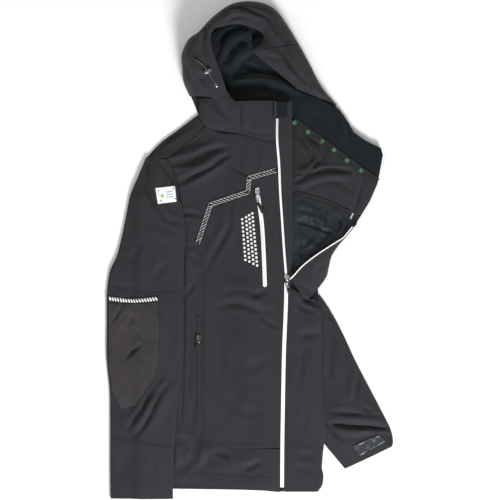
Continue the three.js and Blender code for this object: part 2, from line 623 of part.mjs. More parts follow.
// Right sleeve: it rests on the surface and climbs onto the body's side
const ON_BODY = CLOTH + 1; // from the mid-height of the front to that of the sleeve's lower layer
const ON_BACK = REST + CLOTH + LAID;
const ARMHOLE_Y = { low: 98, high: 140 }; // above this stretch the sleeve lies on the back alone
const CLIMB_X = { from: -240, to: -216 }; // it climbs onto the body between these
function rightRest(x, y) {
  const over = mix(frontHeight(x, y) + ON_BODY, ON_BACK, ramp(y, ARMHOLE_Y.low, ARMHOLE_Y.high));
  return mix(REST, over, ramp(x, CLIMB_X.from, CLIMB_X.to));
}
const RIGHT_RIDGES = [
  { x0: -202, y0: 168, x1: -190, y1: 118, high: 2.5, wide: 9 },
  { x0: -190, y0: 96, x1: -156, y1: 52, high: 2.5, wide: 10 },
  { x0: -248, y0: 22, x1: -214, y1: -14, high: 2, wide: 10 },
  { x0: -160, y0: -258, x1: -196, y1: -332, high: 4, wide: 12 },
  { x0: -192, y0: -282, x1: -248, y1: -356, high: 3.5, wide: 12 },
];
const everywhere = () => 1;
const upperRows = [
  { lx: -209, ly: 182.5, rx: -169, ry: 177, gap: 3.2, crown: 1.5 },
  { lx: -223, ly: 150, rx: -151, ry: 146, gap: 5, crown: 3 },
  { lx: -239, ly: 112, rx: -142.5, ry: 106, gap: 6, crown: 4 },
  { lx: -246, ly: 80, rx: -134.5, ry: 74, gap: 6, crown: 4 },
  { lx: -256, ly: 30, rx: -130, ry: 28, gap: 6, crown: 4 },
  { lx: -267, ly: -12, rx: -132, ry: -14, gap: 6, crown: 4 },
  { lx: -281, ly: -44, rx: -134, ry: -48, gap: 6, crown: 4 },
  { lx: -287, ly: -86, rx: -136, ry: -84, gap: 6, crown: 4 },
];
const lowerRows = [
  { lx: -287, ly: -86 - SEAM, rx: -136, ry: -84 - SEAM, gap: 6, crown: 4 },
  { lx: -287, ly: -150, rx: -135, ry: -148, gap: 6, crown: 4 },
  { lx: -287, ly: -216, rx: -136, ry: -214, gap: 6, crown: 4 },
  { lx: -281, ly: -280, rx: -142, ry: -284, gap: 6, crown: 4 },
  { lx: -280, ly: -330, rx: -148, ry: -342, gap: 6, crown: 4 },
  { lx: -280, ly: -378, rx: -152.5, ry: -396, gap: 6, crown: 3.5 },
];
const cuffRows = [
  { lx: -280, ly: -378 - SEAM, rx: -152.5, ry: -396 - SEAM, gap: 6, crown: 3.5 },
  { lx: -280, ly: -436, rx: -154, ry: -444, gap: 6, crown: 3.5 },
  { lx: -279.4, ly: -497.5, rx: -154, ry: -497.5, gap: 6, crown: 4 },
];
const upperGrid = sleeveGrid(upperRows, 12, rightRest, everywhere, RIGHT_RIDGES);
const lowerGrid = sleeveGrid(lowerRows, 14, rightRest, everywhere, RIGHT_RIDGES);
add("sleeve_right_upper", wall(upperGrid, CLOTH, true), SOFTSHELL());
add("sleeve_right_lower", wall(lowerGrid, CLOTH, true), SOFTSHELL());
add("cuff_right", wall(sleeveGrid(cuffRows, 5, rightRest, everywhere, []), CLOTH, true), SOFTSHELL());

// What is sewn on the right sleeve: a patch, a reflective tape and the elbow's mesh
const onUpper = heightOn(sleeveTop(upperGrid));
const onLower = heightOn(sleeveTop(lowerGrid));
const patchLeft = curve([[-189, 123.6], [-183.6, 92]]);
const patchRight = curve([[-150.5, 128], [-147, 97]]);
const onSleeve = (top) => (x, y) => top(x, y) + lift(LAID);
add("sleeve_patch", wall(patch(patchLeft, patchRight, 4, 5, onSleeve(onUpper)), TRIM), WHITE());
const SLEEVE_LEFT_EDGE = -282.6; // where the sleeve's top starts to round down
const sleeveTapeRoute = curve([[SLEEVE_LEFT_EDGE, -96.5], [-236, -101], [-184.5, -97]]);
add("sleeve_tape", wall(ribbon(sleeveTapeRoute, 7.6, 14, 1, onSleeve(onLower)), TRIM), WHITE());
const elbowCloth = solid(wall(
  sheet({ left: SLEEVE_LEFT_EDGE, right: -178, top: -106, bottom: -324 }, 19, onSleeve(onLower)),
  TRIM,
));
add("elbow_mesh", cut(elbowCloth, [
  [SLEEVE_LEFT_EDGE + 0.4, -108], [-240, -108], [-184, -106], [-182, -160], [-184, -220], [-190, -252],
  [-200, -270], [-230, -310], [-256, -318], [-266, -300], [-275, -280], [-279, -256],
  [SLEEVE_LEFT_EDGE + 0.4, -228],
]), MESH());

// Left sleeve: it comes out from under the body at the lower right
const leftRest = () => REST;
const clearOfBody = (x) => ramp(x, 152, 182);
const LEFT_RIDGES = [
  { x0: 200, y0: -230, x1: 206, y1: -300, high: 2, wide: 10 },
  { x0: 168, y0: -180, x1: 176, y1: -260, high: 1.8, wide: 10 },
];
const leftRows = [
  { lx: 128, ly: -98, rx: 139, ry: -90, gap: 4.6, crown: 0 },
  { lx: 124.5, ly: -132, rx: 160, ry: -120, gap: 4.9, crown: 0.5 },
  { lx: 123, ly: -182, rx: 184.5, ry: -165, gap: 6.2, crown: 2.5 },
  { lx: 122.5, ly: -232, rx: 212, ry: -224, gap: 6.2, crown: 4 },
  { lx: 124, ly: -282, rx: 241, ry: -280, gap: 6.2, crown: 4 },
  { lx: 126, ly: -316, rx: 262, ry: -320, gap: 6.2, crown: 4 },
];
const leftCuffRows = [
  { lx: 126, ly: -316 - SEAM, rx: 262, ry: -320 - SEAM, gap: 6.2, crown: 4 },
  { lx: 131, ly: -362, rx: 282, ry: -360, gap: 5.8, crown: 4 },
  { lx: 151, ly: -391, rx: 286.6, ry: -385, gap: 5, crown: 4 },
  { lx: 190, ly: -438, rx: 283, ry: -394, gap: 5, crown: 3 },
];
const leftCuffGrid = sleeveGrid(leftCuffRows, 7, leftRest, clearOfBody, []);
const leftGrid = sleeveGrid(leftRows, 10, leftRest, clearOfBody, LEFT_RIDGES);
add("sleeve_left", wall(leftGrid, CLOTH, true), SOFTSHELL());
add("cuff_left", wall(leftCuffGrid, CLOTH, true), SOFTSHELL());
const onLeftCuff = heightOn(sleeveTop(leftCuffGrid));
const tabUpper = curve([[205, -392], [232, -380], [258, -370]]);
const tabLower = curve([[219, -412], [246, -396], [272, -382]]);
add("cuff_tab", wall(patch(tabUpper, tabLower, 5, 2, onSleeve(onLeftCuff)), TRIM), PLASTIC());

// Hood: it lies on its back with its opening up. Sections run round the opening, from the outline on the
// surface (o), up to the fold (ridge), and in to the opening's edge (i).
const hoodRow = columns([
  { ox: -120, oy: 308, ix: -42, iy: 300, iz: 30, ridge: 36 },
  { ox: -132, oy: 336, ix: -50, iy: 326, iz: 38, ridge: 46 },
  { ox: -135, oy: 366, ix: -62, iy: 362, iz: 44, ridge: 54 },
  { ox: -136, oy: 392, ix: -74, iy: 394, iz: 48, ridge: 56 },
  { ox: -124, oy: 419, ix: -78, iy: 424, iz: 48, ridge: 55 },
  { ox: -104, oy: 434, ix: -68, iy: 440, iz: 44, ridge: 52 },
  { ox: -74, oy: 466, ix: -48, iy: 446, iz: 38, ridge: 46 },
  { ox: -36, oy: 492, ix: -26, iy: 450, iz: 32, ridge: 42 },
  { ox: 6, oy: 497.2, ix: 0, iy: 444, iz: 30, ridge: 40 },
  { ox: 46, oy: 484, ix: 26, iy: 430, iz: 30, ridge: 40 },
  { ox: 76, oy: 446, ix: 22, iy: 412, iz: 30, ridge: 40 },
  { ox: 98, oy: 410, ix: 8, iy: 396, iz: 32, ridge: 40 },
  { ox: 120, oy: 370, ix: 28, iy: 376, iz: 30, ridge: 38 },
  { ox: 144, oy: 324, ix: 58, iy: 353, iz: 22, ridge: 32 },
  { ox: 172, oy: 291, ix: 96, iy: 321, iz: 13, ridge: 18 },
]);
const HOOD_FOLDS = [
  { x0: 24, y0: 410, x1: 92, y1: 338, high: 5, wide: 10 },
  { x0: 36, y0: 460, x1: 104, y1: 344, high: 4, wide: 10 },
  { x0: -50, y0: 470, x1: 10, y1: 474, high: 3, wide: 7 },
  { x0: -110, y0: 330, x1: -74, y1: 352, high: -3, wide: 9 },
  { x0: -112, y0: 400, x1: -94, y1: 352, high: -3, wide: 9 },
];
const HOOD_RISE = [0, 0.2, 0.45, 0.72, 1]; // places up the outer side, as shares of a quarter turn
const HOOD_IN = [0.3, 0.65, 1]; // places from the fold to the opening's edge
const RIDGE_AT = 0.45; // the fold's place between the outline and the opening
const hoodAt = (t) => {
  const row = hoodRow(t);
  const point = (u, z, share) => {
    const [x, y] = [mix(row.ox, row.ix, u), mix(row.oy, row.iy, u)];
    return new THREE.Vector3(x, y, z + share * folds(HOOD_FOLDS, x, y));
  };
  const ring = HOOD_RISE.map((share) => {
    const angle = (share * Math.PI) / 2;
    return point(RIDGE_AT * (1 - Math.cos(angle)), 0.15 + row.ridge * Math.sin(angle), share);
  });
  for (const share of HOOD_IN)
    ring.push(point(mix(RIDGE_AT, 1, share), mix(row.ridge, row.iz, share * share), 1 - 0.6 * share));
  return ring;
};
const HOOD_ROWS = 14 * 2;
function hoodGrid(from, to) {
  const rows = Math.max(2, Math.round((to - from) * HOOD_ROWS));
  const grid = [];
  for (let i = 0; i <= rows; i++) grid.push(hoodAt(mix(from, to, i / rows)));
  return grid;
}
const HOOD_SEAMS = [5 / 14, 11 / 14]; // between the sides and the crown
const HOOD_GAP = 0.0016;
const hoodRightGrid = hoodGrid(0, HOOD_SEAMS[0] - HOOD_GAP);
add("hood_side_right", wall(hoodRightGrid, CLOTH), SOFTSHELL());
add("hood_crown", wall(hoodGrid(HOOD_SEAMS[0] + HOOD_GAP, HOOD_SEAMS[1] - HOOD_GAP), CLOTH), SOFTSHELL());
add("hood_side_left", wall(hoodGrid(HOOD_SEAMS[1] + HOOD_GAP, 1), CLOTH), SOFTSHELL());

// Hood's back, flat on the surface, and the lining that shows through the opening
const hoodBackGrid = sheet({ left: -142, right: 200, top: 502, bottom: 225 }, 85, () => REST);
const hoodBackCloth = solid(wall(hoodBackGrid, CLOTH));
const HOOD_BACK_IN = CLOTH / 2 + SEAM + 0.2; // from the hood's outline to its back's edge
const hoodFoot = [];
for (let i = 0; i <= HOOD_ROWS; i++) {
  const { ox, oy } = hoodRow(i / HOOD_ROWS);
  hoodFoot.push([ox, oy]);
}
add("hood_back", cut(hoodBackCloth, [
  ...drawnIn([...hoodFoot, [186, 268], [-106, 274]], HOOD_BACK_IN).slice(0, -2), [188, 268], [182, 240],
  [170, 246.4], [146, 254], [120, 258.4], [80, 257], [58, 255], [38, 249], [34, 237], [-50, 252], [-98, 256],
  [-103, 270], [-115, 300],
]), SOFTSHELL());
const LINING_FOLDS = [
  { x0: -62, y0: 396, x1: -18, y1: 436, high: 10, wide: 9 },
  { x0: -16, y0: 436, x1: 4, y1: 402, high: 11, wide: 8 },
  { x0: -44, y0: 360, x1: -20, y1: 412, high: 7, wide: 8 },
  { x0: -10, y0: 390, x1: 44, y1: 416, high: 6, wide: 9 },
];
const LINING_LOW = 4.4;
const LINING_HIGH = 17;
const liningHeight = (x, y) =>
  mix(LINING_LOW, LINING_HIGH, ramp(y, 346, 412)) + folds(LINING_FOLDS, x, y);
const liningGrid = sheet({ left: -104, right: 100, top: 478, bottom: 336 }, 14.2, liningHeight);
add("hood_lining", cut(solid(wall(liningGrid, CLOTH)), [
  [-44, 338.5], [-10, 346.5], [24, 347.5], [60, 339.5], [76, 344], [88, 366], [78, 396], [62, 430], [34, 460],
  [0, 472], [-34, 464], [-66, 440], [-96, 410], [-100, 386], [-92, 358], [-70, 344],
]), LINING());

// Hood's draw cord: an eyelet near the opening, a cord out of it, a lock on the cord and a knot at its end
const CORD_WIDE = 2.5;
const onHood = heightOn(hoodRightGrid);
const hoodNormal = (x, y, reach = 4) => new THREE.Vector3(
  (onHood(x - reach, y) - onHood(x + reach, y)) / (2 * reach),
  (onHood(x, y - reach) - onHood(x, y + reach)) / (2 * reach),
  1,
).normalize();
const EYELET = { x: -67, y: 327, outer: 4, hole: 1.6, thick: 1.2 };
const eyeletProfile = [
  [EYELET.hole, 0], [EYELET.outer, 0], [EYELET.outer, EYELET.thick / 2],
  [EYELET.outer - 1, EYELET.thick], [EYELET.hole, EYELET.thick], [EYELET.hole, 0],
];
const eyeletShape = new THREE.LatheGeometry(eyeletProfile.map(([x, y]) => new THREE.Vector2(x, y)), 14);
const eyelet = add("cord_eyelet", eyeletShape.rotateX(Math.PI / 2), METAL());
const eyeletUp = hoodNormal(EYELET.x, EYELET.y);
eyelet.position.set(EYELET.x, EYELET.y, onHood(EYELET.x, EYELET.y)).addScaledVector(eyeletUp, CLOTH / 2 + LAID);
eyelet.quaternion.setFromUnitVectors(new THREE.Vector3(0, 0, 1), eyeletUp);

const CORD_ROUTE = [
  [-66.8, 326.7, 43.9], [-66.3, 326.2, 46.4], [-66.9, 327.2, 49], [-69, 330.6, 50.8], [-72.3, 335.6, 51],
  [-75.8, 341.2, 51.4], [-79.3, 346.8, 52.8], [-82.6, 352, 54.6], [-85.8, 357.1, 56], [-89.6, 362, 56.6],
  [-94, 366.3, 56.6], [-99, 370.2, 56.6], [-104, 374.2, 56.6],
];
const CORD_SIDES = 8;
const cordLine = new THREE.CatmullRomCurve3(
  CORD_ROUTE.map((p) => new THREE.Vector3(...p)), false, "centripetal",
);
const roundShape = (radius, sides) => new THREE.Shape(
  Array.from({ length: sides }, (_, i) => {
    const angle = (2 * Math.PI * i) / sides;
    return new THREE.Vector2(radius * Math.cos(angle), radius * Math.sin(angle));
  }),
);
const cordShape = new THREE.ExtrudeGeometry(roundShape(CORD_WIDE / 2, CORD_SIDES), {
  steps: 16, bevelEnabled: false, extrudePath: cordLine,
});
add("drawcord", cordShape, PLASTIC());

// The lock is a barrel across the cord, with a hole for it
const LOCK = { half: 7.5, radius: 4, hole: 1.65, at: 0.56 };
const lockAlong = cordLine.getTangentAt(LOCK.at);
const lockAxis = new THREE.Vector3(lockAlong.y, -lockAlong.x, 0).normalize();
const lockProfile = [
  [0, -LOCK.half], [2.6, -LOCK.half], [LOCK.radius, -LOCK.half + 1.6], [LOCK.radius, LOCK.half - 4],
  [3, LOCK.half - 3.6], [3, LOCK.half - 0.8], [2.2, LOCK.half], [0, LOCK.half],
];
const barrel = new THREE.LatheGeometry(lockProfile.map(([x, y]) => new THREE.Vector2(x, y)), 14);
barrel.applyQuaternion(new THREE.Quaternion().setFromUnitVectors(new THREE.Vector3(0, 1, 0), lockAxis));
const hole = new THREE.ExtrudeGeometry(roundShape(LOCK.hole, 12), { depth: 14, bevelEnabled: false });
hole.translate(0, 0, -7);
hole.applyQuaternion(new THREE.Quaternion().setFromUnitVectors(new THREE.Vector3(0, 0, 1), lockAlong));
const lock = add("cord_lock", geometryOf(solid(barrel).subtract(solid(hole))), PLASTIC());
lock.position.copy(cordLine.getPointAt(LOCK.at));
const KNOT = 2.9;
const knot = add("cord_end", new THREE.SphereGeometry(KNOT, 12, 8), PLASTIC());
knot.position.copy(cordLine.getPoint(1)).addScaledVector(cordLine.getTangent(1), KNOT + SEAM);

// Zip sliders and their pulls. Each is drawn at its hinge, the bar's axis, with the zip along Y.
const PLATE = { wide: 9, nose: 5, up: 8, down: -4, thick: 2.4 };
const BAR_Z = 3.6; // the hinge's height above the plate's underside
const WIRE = 1.2;
const LOOP_WIRE = 1.3;
const box = (x0, x1, y0, y1, z0, z1) =>
  new THREE.BoxGeometry(x1 - x0, y1 - y0, z1 - z0).translate((x0 + x1) / 2, (y0 + y1) / 2, (z0 + z1) / 2);
const plate = (outline, thick, z) => {
  const shape = new THREE.Shape(outline.map(([x, y]) => new THREE.Vector2(x, y)));
  return new THREE.ExtrudeGeometry(shape, { depth: thick, bevelEnabled: false }).translate(0, 0, z);
};

function sliderShape() {
  const half = PLATE.wide / 2;
  const body = plate([
    [-half, PLATE.up - 2], [-half + 1.5, PLATE.up], [half - 1.5, PLATE.up], [half, PLATE.up - 2],
    [half, 2], [PLATE.nose / 2, PLATE.down], [-PLATE.nose / 2, PLATE.down], [-half, 2],
  ], PLATE.thick, -BAR_Z);
  const top = PLATE.thick - BAR_Z - 0.2;
  const legs = [box(-1.25, 1.25, -3.2, -1.6, top, 1.6), box(-1.25, 1.25, 1.6, 3.2, top, 1.6)];
  const bridge = box(-1.25, 1.25, -3.2, 3.2, 1, 2);
  return geometryOf([...legs, bridge].reduce((whole, piece) => whole.add(solid(piece)), solid(body)));
}

// A flat wire loop: its top bar lies on the hinge
function loopShape(outline) {
  const shape = new THREE.Shape(outline.map(([x, y]) => new THREE.Vector2(x, y)));
  const inside = drawnIn(outline, LOOP_WIRE).reverse();
  shape.holes.push(new THREE.Path(inside.map(([x, y]) => new THREE.Vector2(x, y))));
  return new THREE.ExtrudeGeometry(shape, { depth: WIRE, bevelEnabled: false }).translate(0, 0, -WIRE / 2);
}

// The top of a trim laid on the front, at its highest under a slider
const trimTop = (x, y) =>
  Math.max(...[PLATE.up, 0, PLATE.down].map((along) => onFrontTrim(x, y + along))) + TRIM / 2;

// Each row: the hinge's place, the zip's turn and the pull's fall from level, in degrees, and its outlines
const PULLS = [
  {
    name: "main", x: 74, y: -58, under: FRONT_HIGH + CHAIN / 2, turn: 8, fall: 4,
    loop: [[-3.6, 0.65], [3.6, 0.65], [4, -4], [4.6, -14], [3, -16.4], [-3, -16.4], [-4.6, -14], [-4, -4]],
    tab: [[-2.6, -16.8], [2.6, -16.8], [3, -20], [2.6, -29], [-2.6, -29], [-3, -20]],
  },
  {
    name: "chest", x: 15.6, y: 112, under: trimTop(15.6, 112), turn: 8, fall: 1.5,
    loop: [[-3.6, 0.65], [3.6, 0.65], [3.8, -4], [0.6, -13], [-2, -15.4], [-6, -15.4], [-8, -12.6], [-5, -4]],
    tab: [[-6, -15.8], [-1, -15.8], [9, -36], [9, -40], [5, -42], [2.4, -40]],
  },
  {
    name: "hand", x: -103, y: -178, under: trimTop(-103, -178), turn: -10, fall: 4,
    loop: [[-3.6, 0.65], [3.6, 0.65], [3.6, -6], [2, -8], [-2, -8], [-3.6, -6]],
    tab: [[-2, -8.4], [2, -8.4], [2.6, -12], [2.2, -22], [-2.2, -22], [-2.6, -12]],
  },
];
const TAB_THICK = 2;
for (const pull of PULLS) {
  const hinge = new THREE.Group();
  hinge.position.set(pull.x, pull.y, pull.under + SEAM + BAR_Z);
  hinge.rotation.z = THREE.MathUtils.degToRad(pull.turn);
  add(`${pull.name}_slider`, sliderShape(), METAL(), hinge);
  const hanging = new THREE.Group();
  hanging.rotation.x = THREE.MathUtils.degToRad(pull.fall);
  add(`${pull.name}_pull_loop`, loopShape(pull.loop), METAL(), hanging);
  add(`${pull.name}_pull_tab`, plate(pull.tab, TAB_THICK, -TAB_THICK / 2), PLASTIC(), hanging);
  hinge.add(hanging);
  jacket.add(hinge);
}

export default jacket;
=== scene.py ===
# %% [markdown]
# # A softshell jacket, laid flat
# The jacket lies with its right front up. Its left half is folded under, the left front is turned out
# above the zip's slider, and the hood lies open on its back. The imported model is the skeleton: it says
# where each panel lies. This script sews the visible cloth over it, panel by panel.

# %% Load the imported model
import math

import bmesh
import bpy
import numpy as np
from mathutils import Matrix, Vector
from mathutils.bvhtree import BVHTree


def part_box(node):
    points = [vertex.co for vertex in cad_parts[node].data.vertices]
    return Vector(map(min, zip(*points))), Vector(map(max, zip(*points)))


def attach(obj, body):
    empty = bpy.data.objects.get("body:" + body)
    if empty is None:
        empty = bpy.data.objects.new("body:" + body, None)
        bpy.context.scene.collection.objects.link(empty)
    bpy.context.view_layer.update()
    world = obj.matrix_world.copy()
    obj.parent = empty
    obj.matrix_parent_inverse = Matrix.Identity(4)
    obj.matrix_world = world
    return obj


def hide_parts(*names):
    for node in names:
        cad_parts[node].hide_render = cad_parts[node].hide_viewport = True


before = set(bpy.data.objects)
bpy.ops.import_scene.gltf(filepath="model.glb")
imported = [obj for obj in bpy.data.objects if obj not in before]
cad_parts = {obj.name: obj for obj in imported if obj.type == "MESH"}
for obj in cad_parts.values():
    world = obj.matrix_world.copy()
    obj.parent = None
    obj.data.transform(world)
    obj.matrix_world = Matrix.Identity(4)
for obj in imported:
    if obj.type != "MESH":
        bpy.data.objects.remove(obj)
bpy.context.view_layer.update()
print("packed nodes:", len(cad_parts))

# %% [markdown]
# ## Camera
# The photograph looks straight down. A long lens from far away keeps the high parts, such as the hood,
# from leaning outwards. The picture is one metre wide, so one of its 500 pixels is 2 mm.

# %% Camera
PIXEL = 0.002
LENS = 150.0
SENSOR = 36.0
PHOTO_PLANE = 0.01

camera_data = bpy.data.cameras.new("photo_camera")
camera_data.lens = LENS
camera_data.sensor_width = SENSOR
camera_data.clip_end = 30
camera = bpy.data.objects.new("photo_camera", camera_data)
bpy.context.scene.collection.objects.link(camera)
camera.location = (0, 0, PHOTO_PLANE + LENS / SENSOR * 500 * PIXEL)
bpy.context.scene.camera = camera
print("camera height:", round(camera.location.z, 3))


# %% [markdown]
# ## Small helpers for lines and heights
# Everything is worked out in millimetres with numpy, so that one call places thousands of points. A
# place read from the picture is turned into millimetres by `at`, so seams and creases can be noted down
# as they were measured.

# %% Lines and heights
def at(points):
    """Picture places as millimetres in the jacket's frame."""
    return [(2.0 * x - 500, 500 - 2.0 * y) for x, y in points]


def mix(a, b, t):
    return a + (b - a) * t


def ramp(value, low, high):
    t = np.clip((np.asarray(value, float) - low) / (high - low), 0, 1)
    return t * t * (3 - 2 * t)


def run_along(line):
    """How far along a flat line each of its points is."""
    return np.concatenate([[0], np.cumsum(np.hypot(*np.diff(line, axis=0).T))])


def smooth_line(points, count):
    """A smooth curve through a few points, as count + 1 points evenly far apart."""
    p = np.array([list(q) + [0] * (3 - len(q)) for q in points], float)
    p = np.vstack([2 * p[0] - p[1], p, 2 * p[-1] - p[-2]])
    dense = []
    for a, b, c, d in zip(p, p[1:], p[2:], p[3:]):
        ab, bc, cd = [max(1e-6, np.linalg.norm(v)) ** 0.5 for v in (b - a, c - b, d - c)]
        start = ((b - a) / ab - (c - a) / (ab + bc) + (c - b) / bc) * bc
        end = ((c - b) / bc - (d - b) / (bc + cd) + (d - c) / cd) * bc
        for t in np.linspace(0, 1, 24, endpoint=False):
            dense.append(
                b + start * t + (3 * (c - b) - 2 * start - end) * t * t
                + (2 * (b - c) + start + end) * t**3
            )
    dense = np.array(dense + [p[-2]])
    run = np.concatenate([[0], np.cumsum(np.linalg.norm(np.diff(dense, axis=0), axis=1))])
    places = np.linspace(0, run[-1], count + 1)
    return np.column_stack([np.interp(places, run, dense[:, k]) for k in range(3)])


def along_line(points, t, count=200):
    """Places along a smooth curve, for an array of shares from 0 to 1."""
    line = smooth_line(points, count)
    return np.column_stack([np.interp(t, np.linspace(0, 1, count + 1), line[:, k]) for k in range(3)])


def between(first, second, along, across):
    """Places on the cloth stretched between two curves, for arrays of shares from 0 to 1."""
    return mix(along_line(first, along), along_line(second, along), across[:, None])


def table_at(rows, t):
    """A smooth line through the rows of a table, for an array of shares from 0 to 1."""
    rows = np.array(rows, float)
    last = len(rows) - 1
    place = np.clip(t, 0, 1) * last
    i = np.minimum(last - 1, place.astype(int))
    f = (place - i)[:, None]
    a, b, c, d = [rows[np.clip(i + k, 0, last)] for k in (-1, 0, 1, 2)]
    return b + 0.5 * f * (c - a + f * (2 * a - 5 * b + 4 * c - d + f * (3 * (b - c) + d - a)))


def to_line(points, x, y):
    """How far each place is from a line through points, and how far along it, from 0 to 1."""
    p = np.array([q[:2] for q in points], float)
    run = run_along(p)
    best = np.full(np.shape(x), np.inf)
    along = np.zeros(np.shape(x))
    for (x0, y0), (x1, y1), start in zip(p, p[1:], run):
        length = max(1e-9, math.hypot(x1 - x0, y1 - y0))
        t = np.clip(((x - x0) * (x1 - x0) + (y - y0) * (y1 - y0)) / length**2, 0, 1)
        distance = np.hypot(x - mix(x0, x1, t), y - mix(y0, y1, t))
        along = np.where(distance < best, (start + t * length) / run[-1], along)
        best = np.minimum(best, distance)
    return best, along


def ridges(table, x, y):
    """Soft folds: rows of start, end, height and width, fading at both ends."""
    total = np.zeros(np.shape(x))
    for x0, y0, x1, y1, high, wide in table:
        distance, along = to_line([(x0, y0), (x1, y1)], x, y)
        total += high * np.exp(-((distance / wide) ** 2)) * np.sin(np.pi * along) ** 0.6
    return total


CREASE_DEPTH = 1.3


def creases(table, x, y):
    """Creases: rows of height, width and picture places. A minus height is a trough.
    Cloth that sinks into a crease swells a little on both sides of it."""
    total = np.zeros(np.shape(x))
    for high, wide, places in table:
        line = smooth_line(at(places), 5 * len(places))
        distance, along = to_line(line, x, y)
        across = distance / wide
        section = np.exp(-(across**2)) - 0.35 * np.exp(-(((across - 1.9) / 0.75) ** 2))
        total += CREASE_DEPTH * high * section * np.clip(np.sin(np.pi * along), 0, 1) ** 0.5
    return total


def unevenness(x, y, size, high):
    """Slight unevenness of laid cloth: a few long waves that cross each other and never repeat."""
    total = np.zeros(np.shape(x))
    for k in range(6):
        turn, wave = 1.9 * k + 0.4, size * (0.7 + 0.13 * k)
        total += np.sin((x * math.cos(turn) + y * math.sin(turn)) * 2 * math.pi / wave + 2.1 * k)
    return high * total / 6


# %% [markdown]
# ## The draw cord
# The hood's draw cord is braided elastic. It comes up out of its eyelet, runs through a barrel lock and
# ends in a knot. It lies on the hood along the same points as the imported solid.

# %% Draw cord
CORD_ROUTE = [
    (-66.8, 326.7, 43.9), (-66.3, 326.2, 46.4), (-66.9, 327.2, 49), (-69, 330.6, 50.8), (-72.3, 335.6, 51),
    (-75.8, 341.2, 51.4), (-79.3, 346.8, 52.8), (-82.6, 352, 54.6), (-85.8, 357.1, 56), (-89.6, 362, 56.6),
    (-94, 366.3, 56.6), (-99, 370.2, 56.6), (-104, 374.2, 56.6),
]
CORD_WIDE = 0.0025
cord_line = smooth_line(CORD_ROUTE, 60) * 0.001
cord_data = bpy.data.curves.new("draw_cord", "CURVE")
cord_data.dimensions = "3D"
cord_data.bevel_depth = CORD_WIDE / 2
cord_data.bevel_resolution = 3
cord_data.use_fill_caps = True
spline = cord_data.splines.new("POLY")
spline.points.add(len(cord_line) - 1)
for point, place in zip(spline.points, cord_line):
    point.co = (*place, 1)
draw_cord = bpy.data.objects.new("draw_cord", cord_data)
bpy.context.scene.collection.objects.link(draw_cord)

# %% [markdown]
# ## How the jacket lies
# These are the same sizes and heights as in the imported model: the front climbs from the side seam onto
# the folded left half and rises to the neck. A panel made from them lies where its solid lies.

# %% Heights of the layers
CLOTH = 1.6
SEAM = 0.3
REST = CLOTH / 2
OVER_HIDDEN = 8 + 0.6 + CLOTH / 2
FRONT_LOW = 4.4
FRONT_HIGH = 14.6
NECK_RISE = 7
ZIP_WIDE = 9
ABOVE_BACK = 2.6
ZIP_LINE = [
    (54, 264), (54, 220), (58, 170), (60, 120), (64, 60), (68, 0), (72, -56), (72, -100), (68, -200),
    (66, -300), (64.5, -400), (64, -484),
]
FRONT_FOLDS = [
    (-128, 132, -50, 186, 4.5, 13), (-136, 158, -70, 176, 3, 9), (-118, 190, -54, 228, 3, 8),
    (-118, 40, -116, -60, 2.5, 10), (-30, 90, -52, -10, 2.5, 12), (-60, -66, 4, -78, 3, 14),
    (-20, -100, 52, -112, 2, 10), (-136, -420, -70, -392, 3.5, 12), (-30, -340, 10, -270, 2.5, 14),
    (-80, -440, 20, -410, 2.5, 12),
]
FRONT_CREASES = [
    (-4.6, 6, [(163, 166), (178, 162), (193, 160), (207, 152), (229, 147)]),
    (2, 6, [(170, 158), (190, 152), (206, 145)]),
    (-4.6, 5.5, [(172, 184), (184, 180), (197, 174), (211, 166), (231, 152)]),
    (2.2, 7, [(180, 172), (198, 167), (215, 158)]),
    (-2.4, 4, [(200, 119), (209, 124), (221, 130), (239, 132)]),
    (-1.8, 4.5, [(170, 156), (181, 148), (194, 141), (204, 133)]),
    (-1.0, 6, [(240, 140), (240, 184)]),
    (-5, 4, [(160, 160), (166, 167), (171, 176)]),
    (-2.6, 5, [(176, 214), (190, 213), (203, 216)]),
    (-3, 2.6, [(180, 222), (182.5, 245), (184, 270), (184, 310), (183.6, 350), (182.5, 390), (180.5, 425)]),
    (-2, 4, [(254, 142), (258, 160), (256, 172)]),
    (-2.0, 6, [(228, 202), (230, 223), (222, 240), (214, 253), (204, 274)]),
    (1.4, 7, [(222, 205), (222, 225), (212, 245)]),
    (-1.2, 6, [(202, 221), (206, 250)]),
    (-1.8, 5, [(190, 253), (194, 258), (197, 266)]),
    (-2.2, 5, [(193, 284), (189, 290), (185, 297)]),
    (-1.2, 6, [(194, 228), (196, 245)]),
    (-2.4, 7, [(216, 308), (228, 304), (240, 304), (256, 309), (268, 315)]),
    (1.6, 7, [(225, 297), (245, 296), (262, 302)]),
    (-1.8, 6, [(250, 294), (258, 294), (266, 288)]),
    (-2.0, 5, [(258, 315), (268, 322), (277, 328)]),
    (-1.4, 8, [(214, 341), (220, 352), (222, 372)]),
    (-1.2, 9, [(242, 371), (255, 366), (266, 360)]),
    (1.2, 12, [(238, 330), (246, 350), (248, 385)]),
    (-1.2, 8, [(226, 395), (240, 410), (262, 414)]),
    (-3.0, 8, [(177, 437), (186, 441), (193, 452), (188, 462), (180, 470)]),
    (3.2, 6, [(200, 440), (204, 452), (199, 466)]),
    (2.4, 6, [(177, 445), (177, 456), (175, 468)]),
    (-2.4, 6, [(214, 452), (222, 453), (229, 457)]),
    (-2.0, 6, [(244, 469), (253, 465), (261, 461)]),
    (-1.4, 6, [(180, 299), (186, 296)]),
    (-1.2, 8, [(188, 330), (190, 360), (187, 392)]),
    (-1.6, 7, [(190, 400), (193, 412), (191, 428)]),
]


